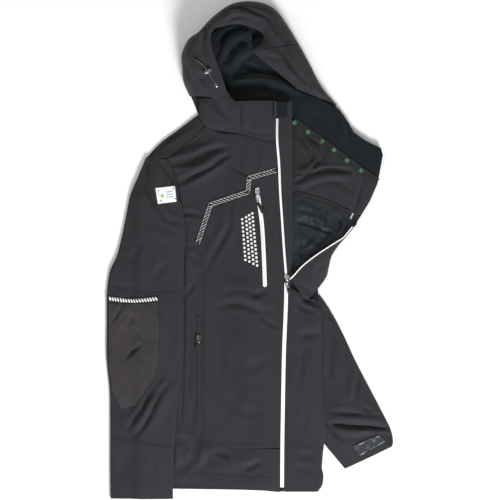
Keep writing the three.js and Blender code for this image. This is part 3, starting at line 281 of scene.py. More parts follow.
def front_height(x, y):
    neck = NECK_RISE * ramp(y, 110, 235) * ramp(x, -130, -10)
    lie = mix(FRONT_LOW, FRONT_HIGH, ramp(x, -80, 34)) + neck + ridges(FRONT_FOLDS, x, y)
    return np.maximum(ABOVE_BACK, lie + creases(FRONT_CREASES, x, y) + unevenness(x, y, 72, 0.8))


def back_height(x, y):
    return mix(REST, OVER_HIDDEN, ramp(x, -24, 30))


TURNED_INNER = [(80, -46), (106, -26), (146, 0), (188, 34), (208, 62)]
INSIDE_FOLDS = [
    (88, 150, 150, 172, 4, 9), (90, 226, 120, 190, 3, 9), (92, 92, 150, 66, 3, 9), (148, 74, 138, 16, 4, 9),
    (96, 34, 128, 2, 3, 9), (190, 262, 193, 214, 3, 8), (100, 310, 120, 262, 2.5, 12),
]
INSIDE_CREASES = [
    (-5, 3.6, [(314, 140), (319, 144), (323, 149), (325, 158)]),
    (-4.4, 3.6, [(299, 136), (306, 143), (311, 152), (312, 162)]),
    (3.2, 4.5, [(305, 139), (313, 146), (318, 153), (319, 163)]),
    (-5, 4, [(296, 174), (305, 173), (314, 167), (320, 160)]),
    (-5, 4, [(292, 183), (299, 180), (308, 174.5), (328, 169.5), (353, 171)]),
    (3.4, 5, [(298, 188), (312, 181), (332, 176), (352, 178)]),
    (-1.8, 6, [(331, 181), (342, 184), (354, 192)]),
    (-2.0, 3, [(361.7, 180), (359, 192), (355.3, 208)]),
    (-3.4, 4, [(344, 118), (347, 130), (349, 144)]),
    (1.8, 6, [(338, 112), (341, 126), (343, 140)]),
    (-1.4, 8, [(300, 108), (320, 118), (338, 134)]),
    (-1.8, 3, [(366, 134), (374, 147), (378, 156)]),
    (-3.6, 3.4, [(296, 221), (308, 224), (320, 229), (334, 234)]),
    (2.6, 5, [(298, 214), (312, 217), (328, 224)]),
    (-5, 5, [(337, 234), (331, 244), (318, 253), (304, 259)]),
    (-2.8, 4, [(299, 250), (303, 257), (309, 262)]),
    (-3, 3, [(309, 208), (313, 216), (314, 226)]),
    (-3, 3, [(322, 211), (325, 219), (323, 228)]),
    (-2.8, 3, [(339, 216), (340, 224), (337, 232)]),
    (2.4, 5, [(318, 238), (310, 246), (300, 251)]),
    (-1.6, 4, [(294, 232), (299, 240), (298, 250)]),
    (7, 7, [(226, 86), (245, 80), (262, 78), (282, 82), (304, 94)]),
    (-6, 7, [(232, 95), (252, 92), (270, 91), (292, 98)]),
]


def inside_height(x, y):
    laid = mix(5.4, OVER_HIDDEN + 0.2, ramp(x, -30, 50))
    away, _ = to_line(TURNED_INNER, x, y)
    climb = 9 * np.exp(-((away / 15) ** 2)) * ramp(x, 86, 112) * (1 - ramp(x, 176, 208))
    folds = ridges(INSIDE_FOLDS, x, y) + creases(INSIDE_CREASES, x, y)
    return np.maximum(ABOVE_BACK, laid + climb + folds + unevenness(x, y, 60, 0.6))


# %% [markdown]
# ## Cutting and laying a panel
# A tailor cuts a panel along its seams and lays it on the form. Here the outline is taken from the top
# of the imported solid, filled with one face, and ruled into small squares by cutting it along X and Y.
# Each point is then lifted to the height of the layer, and Solidify gives the cloth its thickness.
# Near a seam the cloth dips, and a second line of stitching presses it down a little further in.

# %% Cut panels
GRID = 4.0
cloth_pieces = []
small_pieces = []


def link(name, mesh):
    piece = bpy.data.objects.new(name, mesh)
    bpy.context.scene.collection.objects.link(piece)
    return piece


def mesh_from(bm, name):
    mesh = bpy.data.meshes.new(name)
    bm.to_mesh(mesh)
    bm.free()
    return mesh


def small_piece(bm, name):
    piece = link(name, mesh_from(bm, name))
    small_pieces.append(piece)
    return piece


def points_of(mesh):
    co = np.zeros(len(mesh.vertices) * 3)
    mesh.vertices.foreach_get("co", co)
    return co.reshape(-1, 3)


def map_of(mesh):
    """The UV map of a mesh, one row for each corner."""
    uv = np.zeros(len(mesh.loops) * 2)
    mesh.uv_layers[0].data.foreach_get("uv", uv)
    return uv.reshape(-1, 2)


def smoothed(mesh, sharp_from):
    mesh.shade_smooth()
    mesh.set_sharp_from_angle(angle=math.radians(sharp_from))


def apply_modifiers(piece):
    graph = bpy.context.evaluated_depsgraph_get()
    piece.data = bpy.data.meshes.new_from_object(piece.evaluated_get(graph))
    piece.modifiers.clear()


def top_outline(node):
    """The outline of a packed panel's upper side, in millimetres. Of equal ones it is the narrowest.
    The walk always starts at the same edge, so that every run gives the same cloth."""
    bm = bmesh.new()
    bm.from_mesh(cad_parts[node].data)
    bmesh.ops.remove_doubles(bm, verts=bm.verts, dist=1e-6)
    bm.normal_update()
    below = [f for f in bm.faces if f.normal.z < 0.15]
    bmesh.ops.delete(bm, geom=below, context="FACES")
    loops = []
    left = [e for e in bm.edges if e.is_boundary]
    while left:
        edge = left.pop(len(left) // 2)
        start, vert = edge.verts
        loop = [start, vert]
        while vert is not start:
            edge = next(e for e in vert.link_edges if e in left)
            left.remove(edge)
            vert = edge.other_vert(vert)
            loop.append(vert)
        loops.append([(v.co.x * 1000, v.co.y * 1000) for v in loop[:-1]])
    bm.free()
    return max(loops, key=lambda loop: (len(loop), -np.ptp(loop, axis=0)[0]))


def rule_lines(bm, low, high, step, axis):
    """Cuts every face of a flat sheet along evenly spaced lines."""
    normal = Vector((1, 0, 0)) if axis == 0 else Vector((0, 1, 0))
    for place in np.arange(math.ceil(low / step) * step, high, step):
        geometry = bm.verts[:] + bm.edges[:] + bm.faces[:]
        bmesh.ops.bisect_plane(bm, geom=geometry, plane_co=normal * place, plane_no=normal, dist=1e-4)


def give_thickness(piece, thick):
    """Solidify about the middle of the cloth, applied at once."""
    modifier = piece.modifiers.new("thickness", "SOLIDIFY")
    modifier.thickness = thick * 0.001
    modifier.offset = 0
    modifier.use_even_offset = True
    apply_modifiers(piece)
    piece.data.name = piece.name
    smoothed(piece.data, 55)


def place_points(mesh, places):
    mesh.vertices.foreach_set("co", (np.asarray(places) * 0.001).ravel())
    mesh.update()


def flat_uv(mesh, scale=0.001):
    """A UV map in metres, straight from above."""
    layer = mesh.uv_layers.new(name="cloth")
    index = np.zeros(len(mesh.loops), int)
    mesh.loops.foreach_get("vertex_index", index)
    layer.data.foreach_set("uv", (points_of(mesh)[index, :2] * scale).ravel())


def finish_cloth(name, node, mesh, places, thick):
    """Puts a flat sheet's points in place and gives the cloth its thickness."""
    place_points(mesh, places)
    piece = link(name, mesh)
    give_thickness(piece, thick)
    if node:
        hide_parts(node)
    cloth_pieces.append(piece)
    return piece


SEAM_WIDE = 2.6
STITCH_DIP = 0.5
STITCH_WIDE = 1.6


def cut_panel(name, node, height, thick=CLOTH, step=GRID, seam_dip=1.1, stitch_at=None):
    """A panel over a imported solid's outline, at the height of its layer."""
    outline = top_outline(node)
    bm = bmesh.new()
    corners = [bm.verts.new((x, y, 0)) for x, y in outline]
    bm.faces.new(corners)
    bm.normal_update()
    if bm.faces[:][0].normal.z < 0:
        bmesh.ops.reverse_faces(bm, faces=bm.faces[:])
    xs, ys = zip(*outline)
    rule_lines(bm, min(xs), max(xs), step, 0)
    rule_lines(bm, min(ys), max(ys), step, 1)
    mesh = mesh_from(bm, name)
    flat_uv(mesh)
    co = points_of(mesh)
    away, _ = to_line(list(outline) + [outline[0]], co[:, 0], co[:, 1])
    co[:, 2] = height(co[:, 0], co[:, 1]) - seam_dip * np.exp(-((away / SEAM_WIDE) ** 2))
    if stitch_at:
        co[:, 2] -= STITCH_DIP * np.exp(-(((away - stitch_at) / STITCH_WIDE) ** 2))
    co[:, 2] = np.maximum(co[:, 2], thick / 2)
    return finish_cloth(name, node, mesh, co, thick)


def laid_sheet(name, node, across, along, place, thick=CLOTH, tube=False):
    """A grid whose points are put in place by u across the cloth and v along it, both from 0 to 1."""
    bm = bmesh.new()
    bm.loops.layers.uv.new("cloth")
    bmesh.ops.create_grid(bm, x_segments=across, y_segments=along, size=0.5, calc_uvs=True)
    mesh = mesh_from(bm, name)
    u, v = (points_of(mesh)[:, :2] + 0.5).T
    placed = place(np.clip(u, 0, 1), np.clip(v, 0, 1))
    placed[:, 2] = np.maximum(placed[:, 2], thick / 2)
    rows = placed[np.lexsort((u.round(4), v.round(4)))].reshape(along + 1, across + 1, 3)
    wide = np.linalg.norm(np.diff(rows, axis=1), axis=2).sum(axis=1).max()
    long = np.linalg.norm(np.diff(rows, axis=0), axis=2).sum(axis=0).max()
    uv = map_of(mesh) * np.array([wide, long]) * 0.001
    mesh.uv_layers[0].data.foreach_set("uv", uv.ravel())
    if tube:
        place_points(mesh, placed)
        bm = bmesh.new()
        bm.from_mesh(mesh)
        bmesh.ops.remove_doubles(bm, verts=bm.verts, dist=1e-5)
        bm.to_mesh(mesh)
        bm.free()
        placed = points_of(mesh) * 1000
    return finish_cloth(name, node, mesh, placed, thick)


print("tools ready")

# %% [markdown]
# ## Body
# The back lies flat on the surface and climbs onto the folded layers. The right front is one expanse of
# cloth cut along its seams into chest, main, side and hem pieces.

# %% Back and right front
back = cut_panel("back", "back_panel", back_height, step=12)
front_chest, front_main, front_side, front_hem_right = [
    cut_panel(name, node, front_height, step=2.4, stitch_at=6) for name, node in (
        ("front_chest", "front_chest_piece"), ("front_main", "front_main_piece"),
        ("front_side", "front_side_piece"), ("front_hem_r", "front_hem_right"))]
print("body panels:", [len(p.data.polygons) for p in cloth_pieces])

# %% [markdown]
# ## Left front
# The left front runs from the zip to the fold at the side, rolls round it and goes a little way under.

# %% Left front
LEFT_FOLD = [
    (-98, 128, 9.2), (-112, 135, 9.2), (-130, 141, 9.2), (-210, 142, 9.2), (-280, 144, 9.2),
    (-330, 148, 9.2), (-370, 149, 9.2), (-390, 148, 8.6), (-406, 146, 4), (-422, 145, REST),
    (-437, 144, REST), (-450, 147, REST), (-470, 145, REST), (-483, 136, REST),
]
LEFT_RIDGES = [(84, -140, 136, -152, 1.5, 9), (112, -200, 112, -330, 1.5, 12)]
LEFT_CREASES = [
    (-1.6, 6, [(300, 352), (301, 365), (300, 380)]),
    (-1.8, 7, [(297, 337), (309, 334), (320, 334)]),
    (-1.4, 8, [(304, 395), (306, 415), (303, 432)]),
    (-2.4, 5, [(296, 300), (304, 308), (316, 312)]),
    (1.4, 8, [(310, 318), (313, 345), (312, 372)]),
    (-1.6, 7, [(297, 452), (306, 455), (315, 454)]),
    (-1.0, 6, [(291, 470), (300, 468), (312, 471)]),
    (-4, 5, [(302, 298), (311, 302), (320, 306)]),
]
zip_points = smooth_line(ZIP_LINE, 300)


def zip_x(y):
    return np.interp(-np.asarray(y, float), -zip_points[:, 1], zip_points[:, 0])


fold_rows = table_at(LEFT_FOLD, np.linspace(0, 1, 300))


def fold_at(y):
    order = -fold_rows[:, 0]
    return np.interp(-y, order, fold_rows[:, 1]), np.interp(-y, order, fold_rows[:, 2])


TOP_SHARE = 0.72
ROLL_SHARE = 0.2
TAIL_SHARE = 0.08
TAIL_AT = 120.5


def left_front(top, bottom):
    """Across the cloth, the upper side comes first, then the roll round the fold, then the tail below."""
    def place(u, v):
        y = mix(top, bottom, v)
        fold_x, under = fold_at(y)
        radius = (FRONT_HIGH - under) / 2
        start = zip_x(y) + (ZIP_WIDE + SEAM) / 2
        turn = fold_x - CLOTH / 2 - radius
        across = np.clip(u / TOP_SHARE, 0, 1)
        angle = np.pi * (0.5 - np.clip((u - TOP_SHARE) / ROLL_SHARE, 0, 1))
        tail = np.clip((u - 1 + TAIL_SHARE) / TAIL_SHARE, 0, 1)
        x = mix(start, turn, across) + radius * np.cos(angle) * (u > TOP_SHARE)
        x = np.where(tail > 0, mix(turn, np.minimum(turn - 1, TAIL_AT), tail), x)
        z = under + radius * (1 + np.sin(angle))
        top_side = np.clip(np.sin(angle), 0, 1)
        fall = ridges(LEFT_RIDGES, x, y) + creases(LEFT_CREASES, x, y) + unevenness(x, y, 72, 0.7)
        return np.column_stack([x, y, z + fall * top_side])

    return place


HEM_SEAM = -397
left_front_main = laid_sheet("left_front", "left_front_piece", 50, 75, left_front(-98, HEM_SEAM))
left_front_hem = laid_sheet("front_hem_l", "front_hem_left", 50, 22, left_front(HEM_SEAM - SEAM, -483))

# %% [markdown]
# ## Inside of the left front
# Above the slider the left front is turned out, so its inside shows: the fleece of the collar, the mesh
# lining, the facing and the creased lining of the pocket. They are one expanse of cloth, cut at seams.

# %% Inside pieces
def pocket_height(x, y):
    """The pocket's lining is thin, so it lies in small wrinkles as well as in the large folds."""
    return inside_height(x, y) + unevenness(x, y, 21, 1.0) + unevenness(y, x, 34, 1.2)


collar_inside = cut_panel("collar_inside", "collar_left_inside", inside_height, step=3, seam_dip=0.4)
mesh_lining = cut_panel("lining_mesh", "mesh_lining", inside_height, step=3, seam_dip=0.4)
facing = cut_panel("facing", "facing_left_front", inside_height, step=3, stitch_at=5)
pocket_lining = cut_panel("lining_pocket", "pocket_lining", pocket_height, step=2.2)
facing_edge = cut_panel("facing_edge", "facing_edge_left", inside_height, stitch_at=5)

# %% Turned-out front
TURNED_ROWS = [
    (85, -57, 17.8, 92, -74, 17.2), (104, -35, 22, 112, -98.5, 16.4), (130, -14, 23, 127, -87, 16.2),
    (160, 6, 23, 153, -52, 9), (176, 16, 22.4, 156, -24, 6.6), (190, 26, 21, 184, 20, 12),
    (212, 54, 17, 214, 53, 15.4),
]


TURNED_CREASES = [
    (-3, 5, [(305, 284), (311, 292), (317, 303)]),
    (2, 6, [(296, 288), (302, 294), (309, 302)]),
    (-2, 6, [(322, 262), (317, 274), (322, 288)]),
    (-1.6, 5, [(338, 247), (336, 256), (330, 264)]),
]


def turned_front(u, v):
    row = table_at(TURNED_ROWS, v)
    puff = 2 * np.sin(np.pi * u) * np.sin(np.pi * v) ** 0.5
    place = mix(row[:, :3], row[:, 3:], u[:, None])
    place[:, 2] += puff + creases(TURNED_CREASES, place[:, 0], place[:, 1])
    return place


turned = laid_sheet("turned_front", "left_front_turned", 18, 60, turned_front)
HOLLOW_TOP = at([(302, 291), (310, 289), (318, 288)])
HOLLOW_FOOT = at([(303, 301), (310, 305), (317.5, 306)])
CORNER_TOP = at([(288.6, 287), (296, 291), (303, 296), (308, 302)])
CORNER_FOOT = at([(288.8, 299), (295, 300.5), (302, 303), (309, 306)])


def under_turn(u, v):
    """The inside of the cloth that shows in the hollow below the turned-out front."""
    place = between(HOLLOW_TOP, HOLLOW_FOOT, u, v)
    place[:, 2] = mix(10.6, 10.8, u)
    return place


def corner(u, v):
    """The closed front runs up beside the slider and goes under the turned-out part."""
    place = between(CORNER_TOP, CORNER_FOOT, u, v)
    x, y = place[:, 0], place[:, 1]
    place[:, 2] = FRONT_HIGH + CLOTH + 0.3 + creases(LEFT_CREASES, x, y) - 1.4 * (1 - ramp(v, 0, 0.4))
    return place


front_corner = laid_sheet("front_corner", None, 24, 16, corner)
hollow = laid_sheet("under_turn", None, 20, 12, under_turn)


GUARD_EDGE = [(84, 296), (84, 200), (85, 100), (86, 20), (82, -36), (76, -52)]
GUARD_INNER = [(46, 296), (44, 200), (44, 100), (50, 20), (54, -36), (58, -52)]


def guard(u, v):
    place = between(GUARD_EDGE, GUARD_INNER, v, u)
    y = place[:, 1]
    place[:, 2] = 12.2 + NECK_RISE * ramp(y, 110, 235) + 1.5 * ramp(y, 235, 296)
    return place


wind_guard = laid_sheet("zip_guard", "wind_guard", 8, 90, guard)

# %% [markdown]
# ## Collar and shoulder
# The collar's right end stands closed above the neckline. It is two layers thick. The shoulder's mesh
# piece rolls over from the seam at the front down to the surface.

# %% Collar and shoulder
COLLAR_ROWS = [
    (-101, 264, 4.6, -102, 303, 6), (-87, 245.8, 7.6, -90, 303, 20), (-58, 238.3, 11, -64, 300, 27.5),
    (-36, 235, 15, -42, 297, 30), (-20, 232.8, 17.8, -20, 296, 31), (12, 223.8, 21.6, 12, 297, 30),
    (51.2, 215.1, 22.6, 50, 297, 29),
]


COLLAR_CREASES = [
    (-1.6, 1.8, [(241.5, 104), (241.3, 118), (241.5, 132)]),
    (-3.6, 5, [(211, 95), (216, 104), (222, 112), (231, 121)]),
    (2.6, 5, [(204, 100), (209, 110), (217, 120)]),
    (-2, 5, [(203, 124), (214, 129), (228, 130)]),
    (-1.6, 4, [(244, 128), (256, 133), (271, 134)]),
    (-1.0, 6, [(250, 108), (254, 118), (252, 128)]),
]


def collar(start, end):
    def place(u, v):
        row = table_at(COLLAR_ROWS, mix(start, end, u))
        point = mix(row[:, :3], row[:, 3:], v[:, None])
        x, y = point[:, 0], point[:, 1]
        point[:, 2] += 2 * np.sin(np.pi * v) + creases(COLLAR_CREASES, x, y) + unevenness(x, y, 50, 0.5)
        return point

    return place


COLLAR_SEAM = 4 / 6
COLLAR_THICK = 3
collar_side = laid_sheet(
    "collar_side", "collar_right_side", 28, 22, collar(0, COLLAR_SEAM + 0.002), thick=COLLAR_THICK)
collar_front = laid_sheet(
    "collar_front", "collar_right_front", 20, 22, collar(COLLAR_SEAM + 0.003, 1), thick=COLLAR_THICK)

SHOULDER_FOLD = [(-206, 185), (-178, 215), (-140, 243), (-103, 271)]
SHOULDER_SEAM = [(-164.5, 184.6), (-138.5, 202.6), (-112.5, 224.6), (-89, 249)]
SHOULDER_CREASES = [
    (-2.2, 4, [(172, 152), (184, 144), (197, 134)]), (1.8, 4, [(167, 147), (180, 137), (193, 128)]),
    (-1.8, 4, [(158, 148), (168, 140), (178, 132)]),
]


def shoulder(u, v):
    place, seam = between(SHOULDER_FOLD, SHOULDER_SEAM, v, u), along_line(SHOULDER_SEAM, v)
    rolled = np.sqrt(np.clip(1 - (1 - u) ** 2, 0, 1))
    high = mix(REST + 0.6, front_height(seam[:, 0], seam[:, 1]), rolled)
    folds = creases(SHOULDER_CREASES, place[:, 0], place[:, 1]) * np.sin(np.pi * u)
    place[:, 2] = np.maximum(REST + 0.6, high + 3.5 * (1 - v) * np.sin(np.pi * u) + folds)
    return place


shoulder_mesh = laid_sheet("shoulder_yoke", "shoulder_mesh_right", 26, 40, shoulder)

# %% [markdown]
# ## Sleeves
# A sleeve that lies flat is a tube with two folds. Each row of the table gives the two folds and the gap
# between the layers. The right sleeve climbs from the surface onto the body's side.

# %% Sleeves
RIGHT_RIDGES = [
    (-202, 168, -190, 118, 2.5, 9), (-190, 96, -156, 52, 2.5, 10), (-248, 22, -214, -14, 2, 10),
    (-160, -258, -196, -332, 4, 12), (-192, -282, -248, -356, 3.5, 12),
]
RIGHT_CREASES = [
    (-4.2, 5.5, [(145, 160), (145, 172), (148, 188), (157, 206), (167, 219), (181, 223)]),
    (2.8, 6, [(152, 158), (157, 170), (158, 184)]),
    (-3.6, 5, [(163, 162), (166, 168), (172, 178), (179, 190)]),
    (-2.0, 7, [(120, 240), (126, 245), (133, 250)]),
    (-1.8, 8, [(140, 238), (136, 252), (132, 262)]),
    (1.8, 9, [(150, 228), (163, 236), (172, 240)]),
    (-1.8, 7, [(168, 262), (160, 270), (155, 280)]),
    (-4.2, 5, [(174, 377), (166, 385), (160, 392), (151, 411), (144, 424), (134, 437)]),
    (3.2, 6, [(168, 379), (155, 395), (146, 413), (134, 430)]),
    (-3.4, 5, [(160, 386), (148, 399), (141, 411), (133, 421), (127, 431)]),
    (2.2, 7, [(172, 390), (163, 407), (155, 425)]),
    (-2.0, 6, [(150, 301), (155, 308), (160, 316)]),
    (-2.4, 8, [(127, 313), (130, 318), (133, 324)]),
    (-1.8, 6, [(122, 360), (133, 351), (146, 347)]),
    (-1.6, 5, [(130, 346), (138, 354), (143, 362)]),
    (-1.6, 9, [(167, 315), (170, 335), (168, 360)]),
    (-1.8, 6, [(112, 398), (117, 410), (121, 421)]),
    (-1.4, 9, [(120, 455), (124, 465), (121, 476)]),
    (-1.4, 8, [(150, 452), (154, 462), (152, 474)]),
    (-1.6, 4, [(108, 283), (120, 287), (135, 286)]),
    (-3.2, 4.5, [(126, 299), (118, 313), (110, 324)]),
    (2.2, 5, [(133, 303), (127, 317), (119, 330)]),
    (-2.8, 3.6, [(143, 342), (136, 349), (127, 357)]),
    (-1.8, 4, [(135, 330), (142, 338), (150, 343)]),
]
LEFT_SLEEVE_RIDGES = [(200, -230, 206, -300, 2, 10), (168, -180, 176, -260, 1.8, 10)]
LEFT_SLEEVE_CREASES = [
    (-3.6, 4.5, [(357, 371), (357, 384), (356, 400)]),
    (2.0, 5, [(352, 372), (351, 386), (351, 399)]),
    (-2.2, 6, [(327, 357), (330, 366), (330, 378)]),
    (-1.6, 7, [(328, 322), (333, 340), (334, 352)]),
    (-1.8, 6, [(324, 308), (330, 316), (336, 322)]),
    (-2.4, 4, [(361, 407), (366, 409), (372, 413)]),
    (-3, 3, [(385, 433), (389, 438), (389, 445)]),
    (-4.4, 4.5, [(326, 423.5), (342, 425), (362, 426.5), (391, 428.5)]),
    (3.0, 5, [(330, 417), (345, 418), (366, 419), (385, 421)]),
    (2.4, 5, [(336, 430), (352, 433), (370, 431)]),
    (-3.2, 4, [(323, 418), (331, 428), (338, 436), (345, 443)]),
    (-1.6, 5, [(332, 411), (348, 412), (362, 414)]),
    (-3, 2.4, [(332, 424), (350, 425.5), (368, 427), (388, 427.5)]),
]
UPPER_ROWS = [
    (-208, 185.5, -166, 182, 3.2, 1.5), (-223, 150, -151, 146, 5, 3), (-239, 112, -142.5, 106, 6, 4),
    (-246, 80, -134.5, 74, 6, 4), (-256, 30, -130, 28, 6, 4), (-267, -12, -132, -14, 6, 4),
    (-281, -44, -134, -48, 6, 4), (-287, -86, -136, -84, 6, 4),
]
LOWER_ROWS = [
    (-287, -86.3, -136, -84.3, 6, 4), (-287, -150, -135, -148, 6, 4), (-287, -216, -136, -214, 6, 4),
    (-281, -280, -142, -284, 6, 4), (-280, -330, -148, -342, 6, 4), (-280, -378, -152.5, -396, 6, 3.5),
]
CUFF_ROWS = [
    (-280, -378.3, -152.5, -396.3, 6, 3.5), (-280, -436, -154, -444, 6, 3.5),
    (-279.4, -497.5, -154, -497.5, 6, 4),
]
LEFT_ROWS = [
    (128, -98, 139, -90, 4.6, 0), (124.5, -132, 160, -120, 4.9, 0.5), (123, -182, 184.5, -165, 6.2, 2.5),
    (122.5, -232, 212, -224, 6.2, 4), (124, -282, 241, -280, 6.2, 4), (126, -316, 262, -320, 6.2, 4),
]
LEFT_CUFF_ROWS = [
    (126, -316.3, 262, -320.3, 6.2, 4), (131, -362, 282, -360, 5.8, 4), (151, -391, 286.6, -385, 5, 4),
    (190, -438, 283, -394, 5, 3),
]


def right_rest(x, y):
    body = ridges(FRONT_FOLDS, x, y) + mix(FRONT_LOW, FRONT_HIGH, ramp(x, -80, 34))
    body = body + NECK_RISE * ramp(y, 110, 235) * ramp(x, -130, -10)
    over = mix(body + CLOTH + 1, REST + CLOTH + 0.5, ramp(y, 98, 140))
    return mix(REST, over, ramp(x, -240, -216))


def left_rest(x, y):
    return np.full(np.shape(x), REST)


FLAT_TOP = 0.44
FIRST_TURN = 0.52
FLAT_UNDER = 0.92
TURN = 0.08


def sleeve(rows, rest, crown_at, fold_table, crease_table):
    """Round the sleeve, the upper layer comes first, then a turn, the under layer and the other turn."""
    def place(u, v):
        row = table_at(rows, v)
        left, right, gap, crown = row[:, :2], row[:, 2:4], row[:, 4], row[:, 5]
        wide = np.linalg.norm(right - left, axis=1)
        half = gap / 2
        inset = (half + CLOTH / 2) / wide
        top = u <= FLAT_TOP
        under = (u >= FIRST_TURN) & (u <= FLAT_UNDER)
        first = u < FIRST_TURN
        back_share = 1 - (u - FIRST_TURN) / (FLAT_UNDER - FIRST_TURN)
        share = np.where(top, u / FLAT_TOP, np.where(under, back_share, np.where(first, 1, 0)))
        turn = np.where(first, u - FLAT_TOP, u - FLAT_UNDER) / TURN
        bent = np.where(under, -0.5, np.where(first, 0.5, 1.5) - turn)
        angle = np.where(top, 0.5, bent) * np.pi
        flat = top | under
        centre = left + (right - left) * mix(inset, 1 - inset, share)[:, None]
        bulge = np.where(flat, 0, half / wide * np.cos(angle))
        place_xy = centre + (right - left) * bulge[:, None]
        x, y = place_xy[:, 0], place_xy[:, 1]
        base = rest(centre[:, 0], centre[:, 1])
        z = base + half + half * np.sin(angle)
        lift = crown * np.sin(np.pi * share) * crown_at(x) + ridges(fold_table, x, y)
        lift = lift + creases(crease_table, x, y) + unevenness(x, y, 70, 0.8)
        lift = np.maximum(lift, CLOTH + 0.2 - gap)
        return np.column_stack([x, y, z + lift * top])

    return place


def everywhere(x):
    return np.ones(np.shape(x))


def clear_of_body(x):
    return ramp(x, 152, 182)


right = (right_rest, everywhere, RIGHT_RIDGES, RIGHT_CREASES)
left = (left_rest, clear_of_body, LEFT_SLEEVE_RIDGES, LEFT_SLEEVE_CREASES)
sleeve_upper, sleeve_lower, cuff_right, sleeve_left, cuff_left = [
    laid_sheet(name, node, 75, along, sleeve(rows, *side), tube=True) for name, node, along, rows, side in (
        ("sleeve_upper", "sleeve_right_upper", 65, UPPER_ROWS, right),
        ("sleeve_lower", "sleeve_right_lower", 75, LOWER_ROWS, right),
        ("cuff_r", "cuff_right", 30, CUFF_ROWS, right), ("sleeve_l", "sleeve_left", 60, LEFT_ROWS, left),
        ("cuff_l", "cuff_left", 34, LEFT_CUFF_ROWS, left))]

# %% [markdown]
# ## Hood
# The hood lies on its back. Each section starts at its outline on the surface, rises to a soft fold and
# comes in to the edge of the opening. Its lining shows through the opening.

# %% Hood
HOOD_ROWS = [
    (-120, 308, -42, 300, 30, 36), (-132, 336, -50, 326, 38, 46), (-135, 366, -62, 362, 44, 54),
    (-136, 392, -74, 394, 48, 56), (-124, 419, -78, 424, 48, 55), (-104, 434, -68, 440, 44, 52),
    (-74, 466, -48, 446, 38, 46), (-36, 492, -26, 450, 32, 42), (6, 497.2, 0, 444, 30, 40),
    (46, 484, 26, 430, 30, 40), (76, 446, 22, 412, 30, 40), (98, 410, 8, 396, 32, 40),
    (120, 370, 28, 376, 30, 38), (144, 324, 58, 353, 22, 32), (172, 291, 96, 321, 13, 18),
]
HOOD_FOLDS = [
    (24, 410, 92, 338, 5, 10), (36, 460, 104, 344, 4, 10), (-50, 470, 10, 474, 3, 7),
    (-110, 330, -74, 352, -3, 9), (-112, 400, -94, 352, -3, 9),
]
HOOD_CREASES = [
    (-3, 4.5, [(222, 17), (232, 11.5), (246, 12), (264, 17)]),
    (-2.6, 4, [(226, 24), (238, 17.5), (253, 20)]),
    (2.6, 5, [(228, 14.5), (244, 15), (259, 20.5)]),
    (-2.8, 5, [(262, 14), (272, 24), (277, 36)]),
    (-3.6, 5, [(280, 45), (285, 58), (293, 70), (303, 80), (314, 88)]),
    (3, 6, [(287, 44), (293, 58), (304, 72)]),
    (-2.6, 6, [(290, 24), (297, 40), (305, 52)]),
    (-2.6, 5, [(262, 54), (270, 58), (281, 62)]),
    (-2.6, 4.5, [(316, 96), (326, 100), (335, 103)]),
    (-2.2, 5, [(300, 64), (311, 76), (322, 92)]),
    (-3, 5, [(208, 26), (204, 36), (204, 48), (207, 58)]),
    (2.4, 5, [(202, 28), (199, 40), (200, 54)]),
    (-3.4, 4.5, [(184, 41), (183, 50), (182, 58)]),
    (-3.2, 4.5, [(182, 54), (187, 68), (194, 84), (196, 92)]),
    (-2.4, 5, [(192, 18), (199, 14), (208, 9)]),
    (-2.2, 3.5, [(218, 36), (221, 52), (226, 70), (231, 88)]),
    (-2, 4, [(196, 74), (203, 80), (208, 90)]),
    (2, 4, [(213, 22), (210, 34), (211, 50), (215, 66)]),
]
RIDGE_AT = 0.45
RISE_SHARE = 0.6
HOOD_FOOT = 0.15
HOOD_GAIN = 1.5


def hood(start, end):
    """Each section rises from the surface to the hood's fold and comes in to the opening's edge."""
    def place(u, v):
        row = table_at(HOOD_ROWS, mix(start, end, v))
        rising = u <= RISE_SHARE
        rise = np.clip(u / RISE_SHARE, 0, 1)
        inward = np.clip((u - RISE_SHARE) / (1 - RISE_SHARE), 0, 1)
        angle = rise * np.pi / 2
        across = np.where(rising, RIDGE_AT * (1 - np.cos(angle)), mix(RIDGE_AT, 1, inward))
        high = np.where(rising, HOOD_FOOT + row[:, 5] * np.sin(angle), mix(row[:, 5], row[:, 4], inward**2))
        share = np.where(rising, rise, 1 - 0.6 * inward)
        place_xy = mix(row[:, :2], row[:, 2:4], across[:, None])
        x, y = place_xy[:, 0], place_xy[:, 1]
        fall = ridges(HOOD_FOLDS, x, y) + HOOD_GAIN * creases(HOOD_CREASES, x, y) + unevenness(x, y, 60, 0.6)
        return np.column_stack([x, y, high + share * fall])

    return place


FIRST_SEAM = 5 / 14
SECOND_SEAM = 11 / 14
HALF_SEAM = 0.0016
hood_right = laid_sheet("hood_side_r", "hood_side_right", 36, 60, hood(0, FIRST_SEAM - HALF_SEAM))
hood_crown = laid_sheet(
    "hood_top", "hood_crown", 36, 72, hood(FIRST_SEAM + HALF_SEAM, SECOND_SEAM - HALF_SEAM))
hood_left = laid_sheet("hood_side_l", "hood_side_left", 36, 36, hood(SECOND_SEAM + HALF_SEAM, 1))

LINING_FOLDS = [
    (-62, 396, -18, 436, 10, 9), (-16, 436, 4, 402, 11, 8), (-44, 360, -20, 412, 7, 8),
    (-10, 390, 44, 416, 6, 9),
]
LINING_CREASES = [
    (9, 5, [(247, 31), (240, 36), (231, 41), (224, 52), (219, 63)]),
    (8, 4, [(247, 31), (249, 40), (250, 48)]),
    (-6, 5, [(238, 30), (228, 34), (220, 42)]),
    (13, 7, [(268, 42), (256, 46), (246, 51), (238, 58), (232, 68)]),
    (-5, 5, [(252, 38), (256, 34), (262, 33)]),
    (-6, 7, [(240, 62), (250, 68), (262, 76), (272, 80)]),
    (4, 5, [(226, 56), (227, 66), (231, 76)]),
]


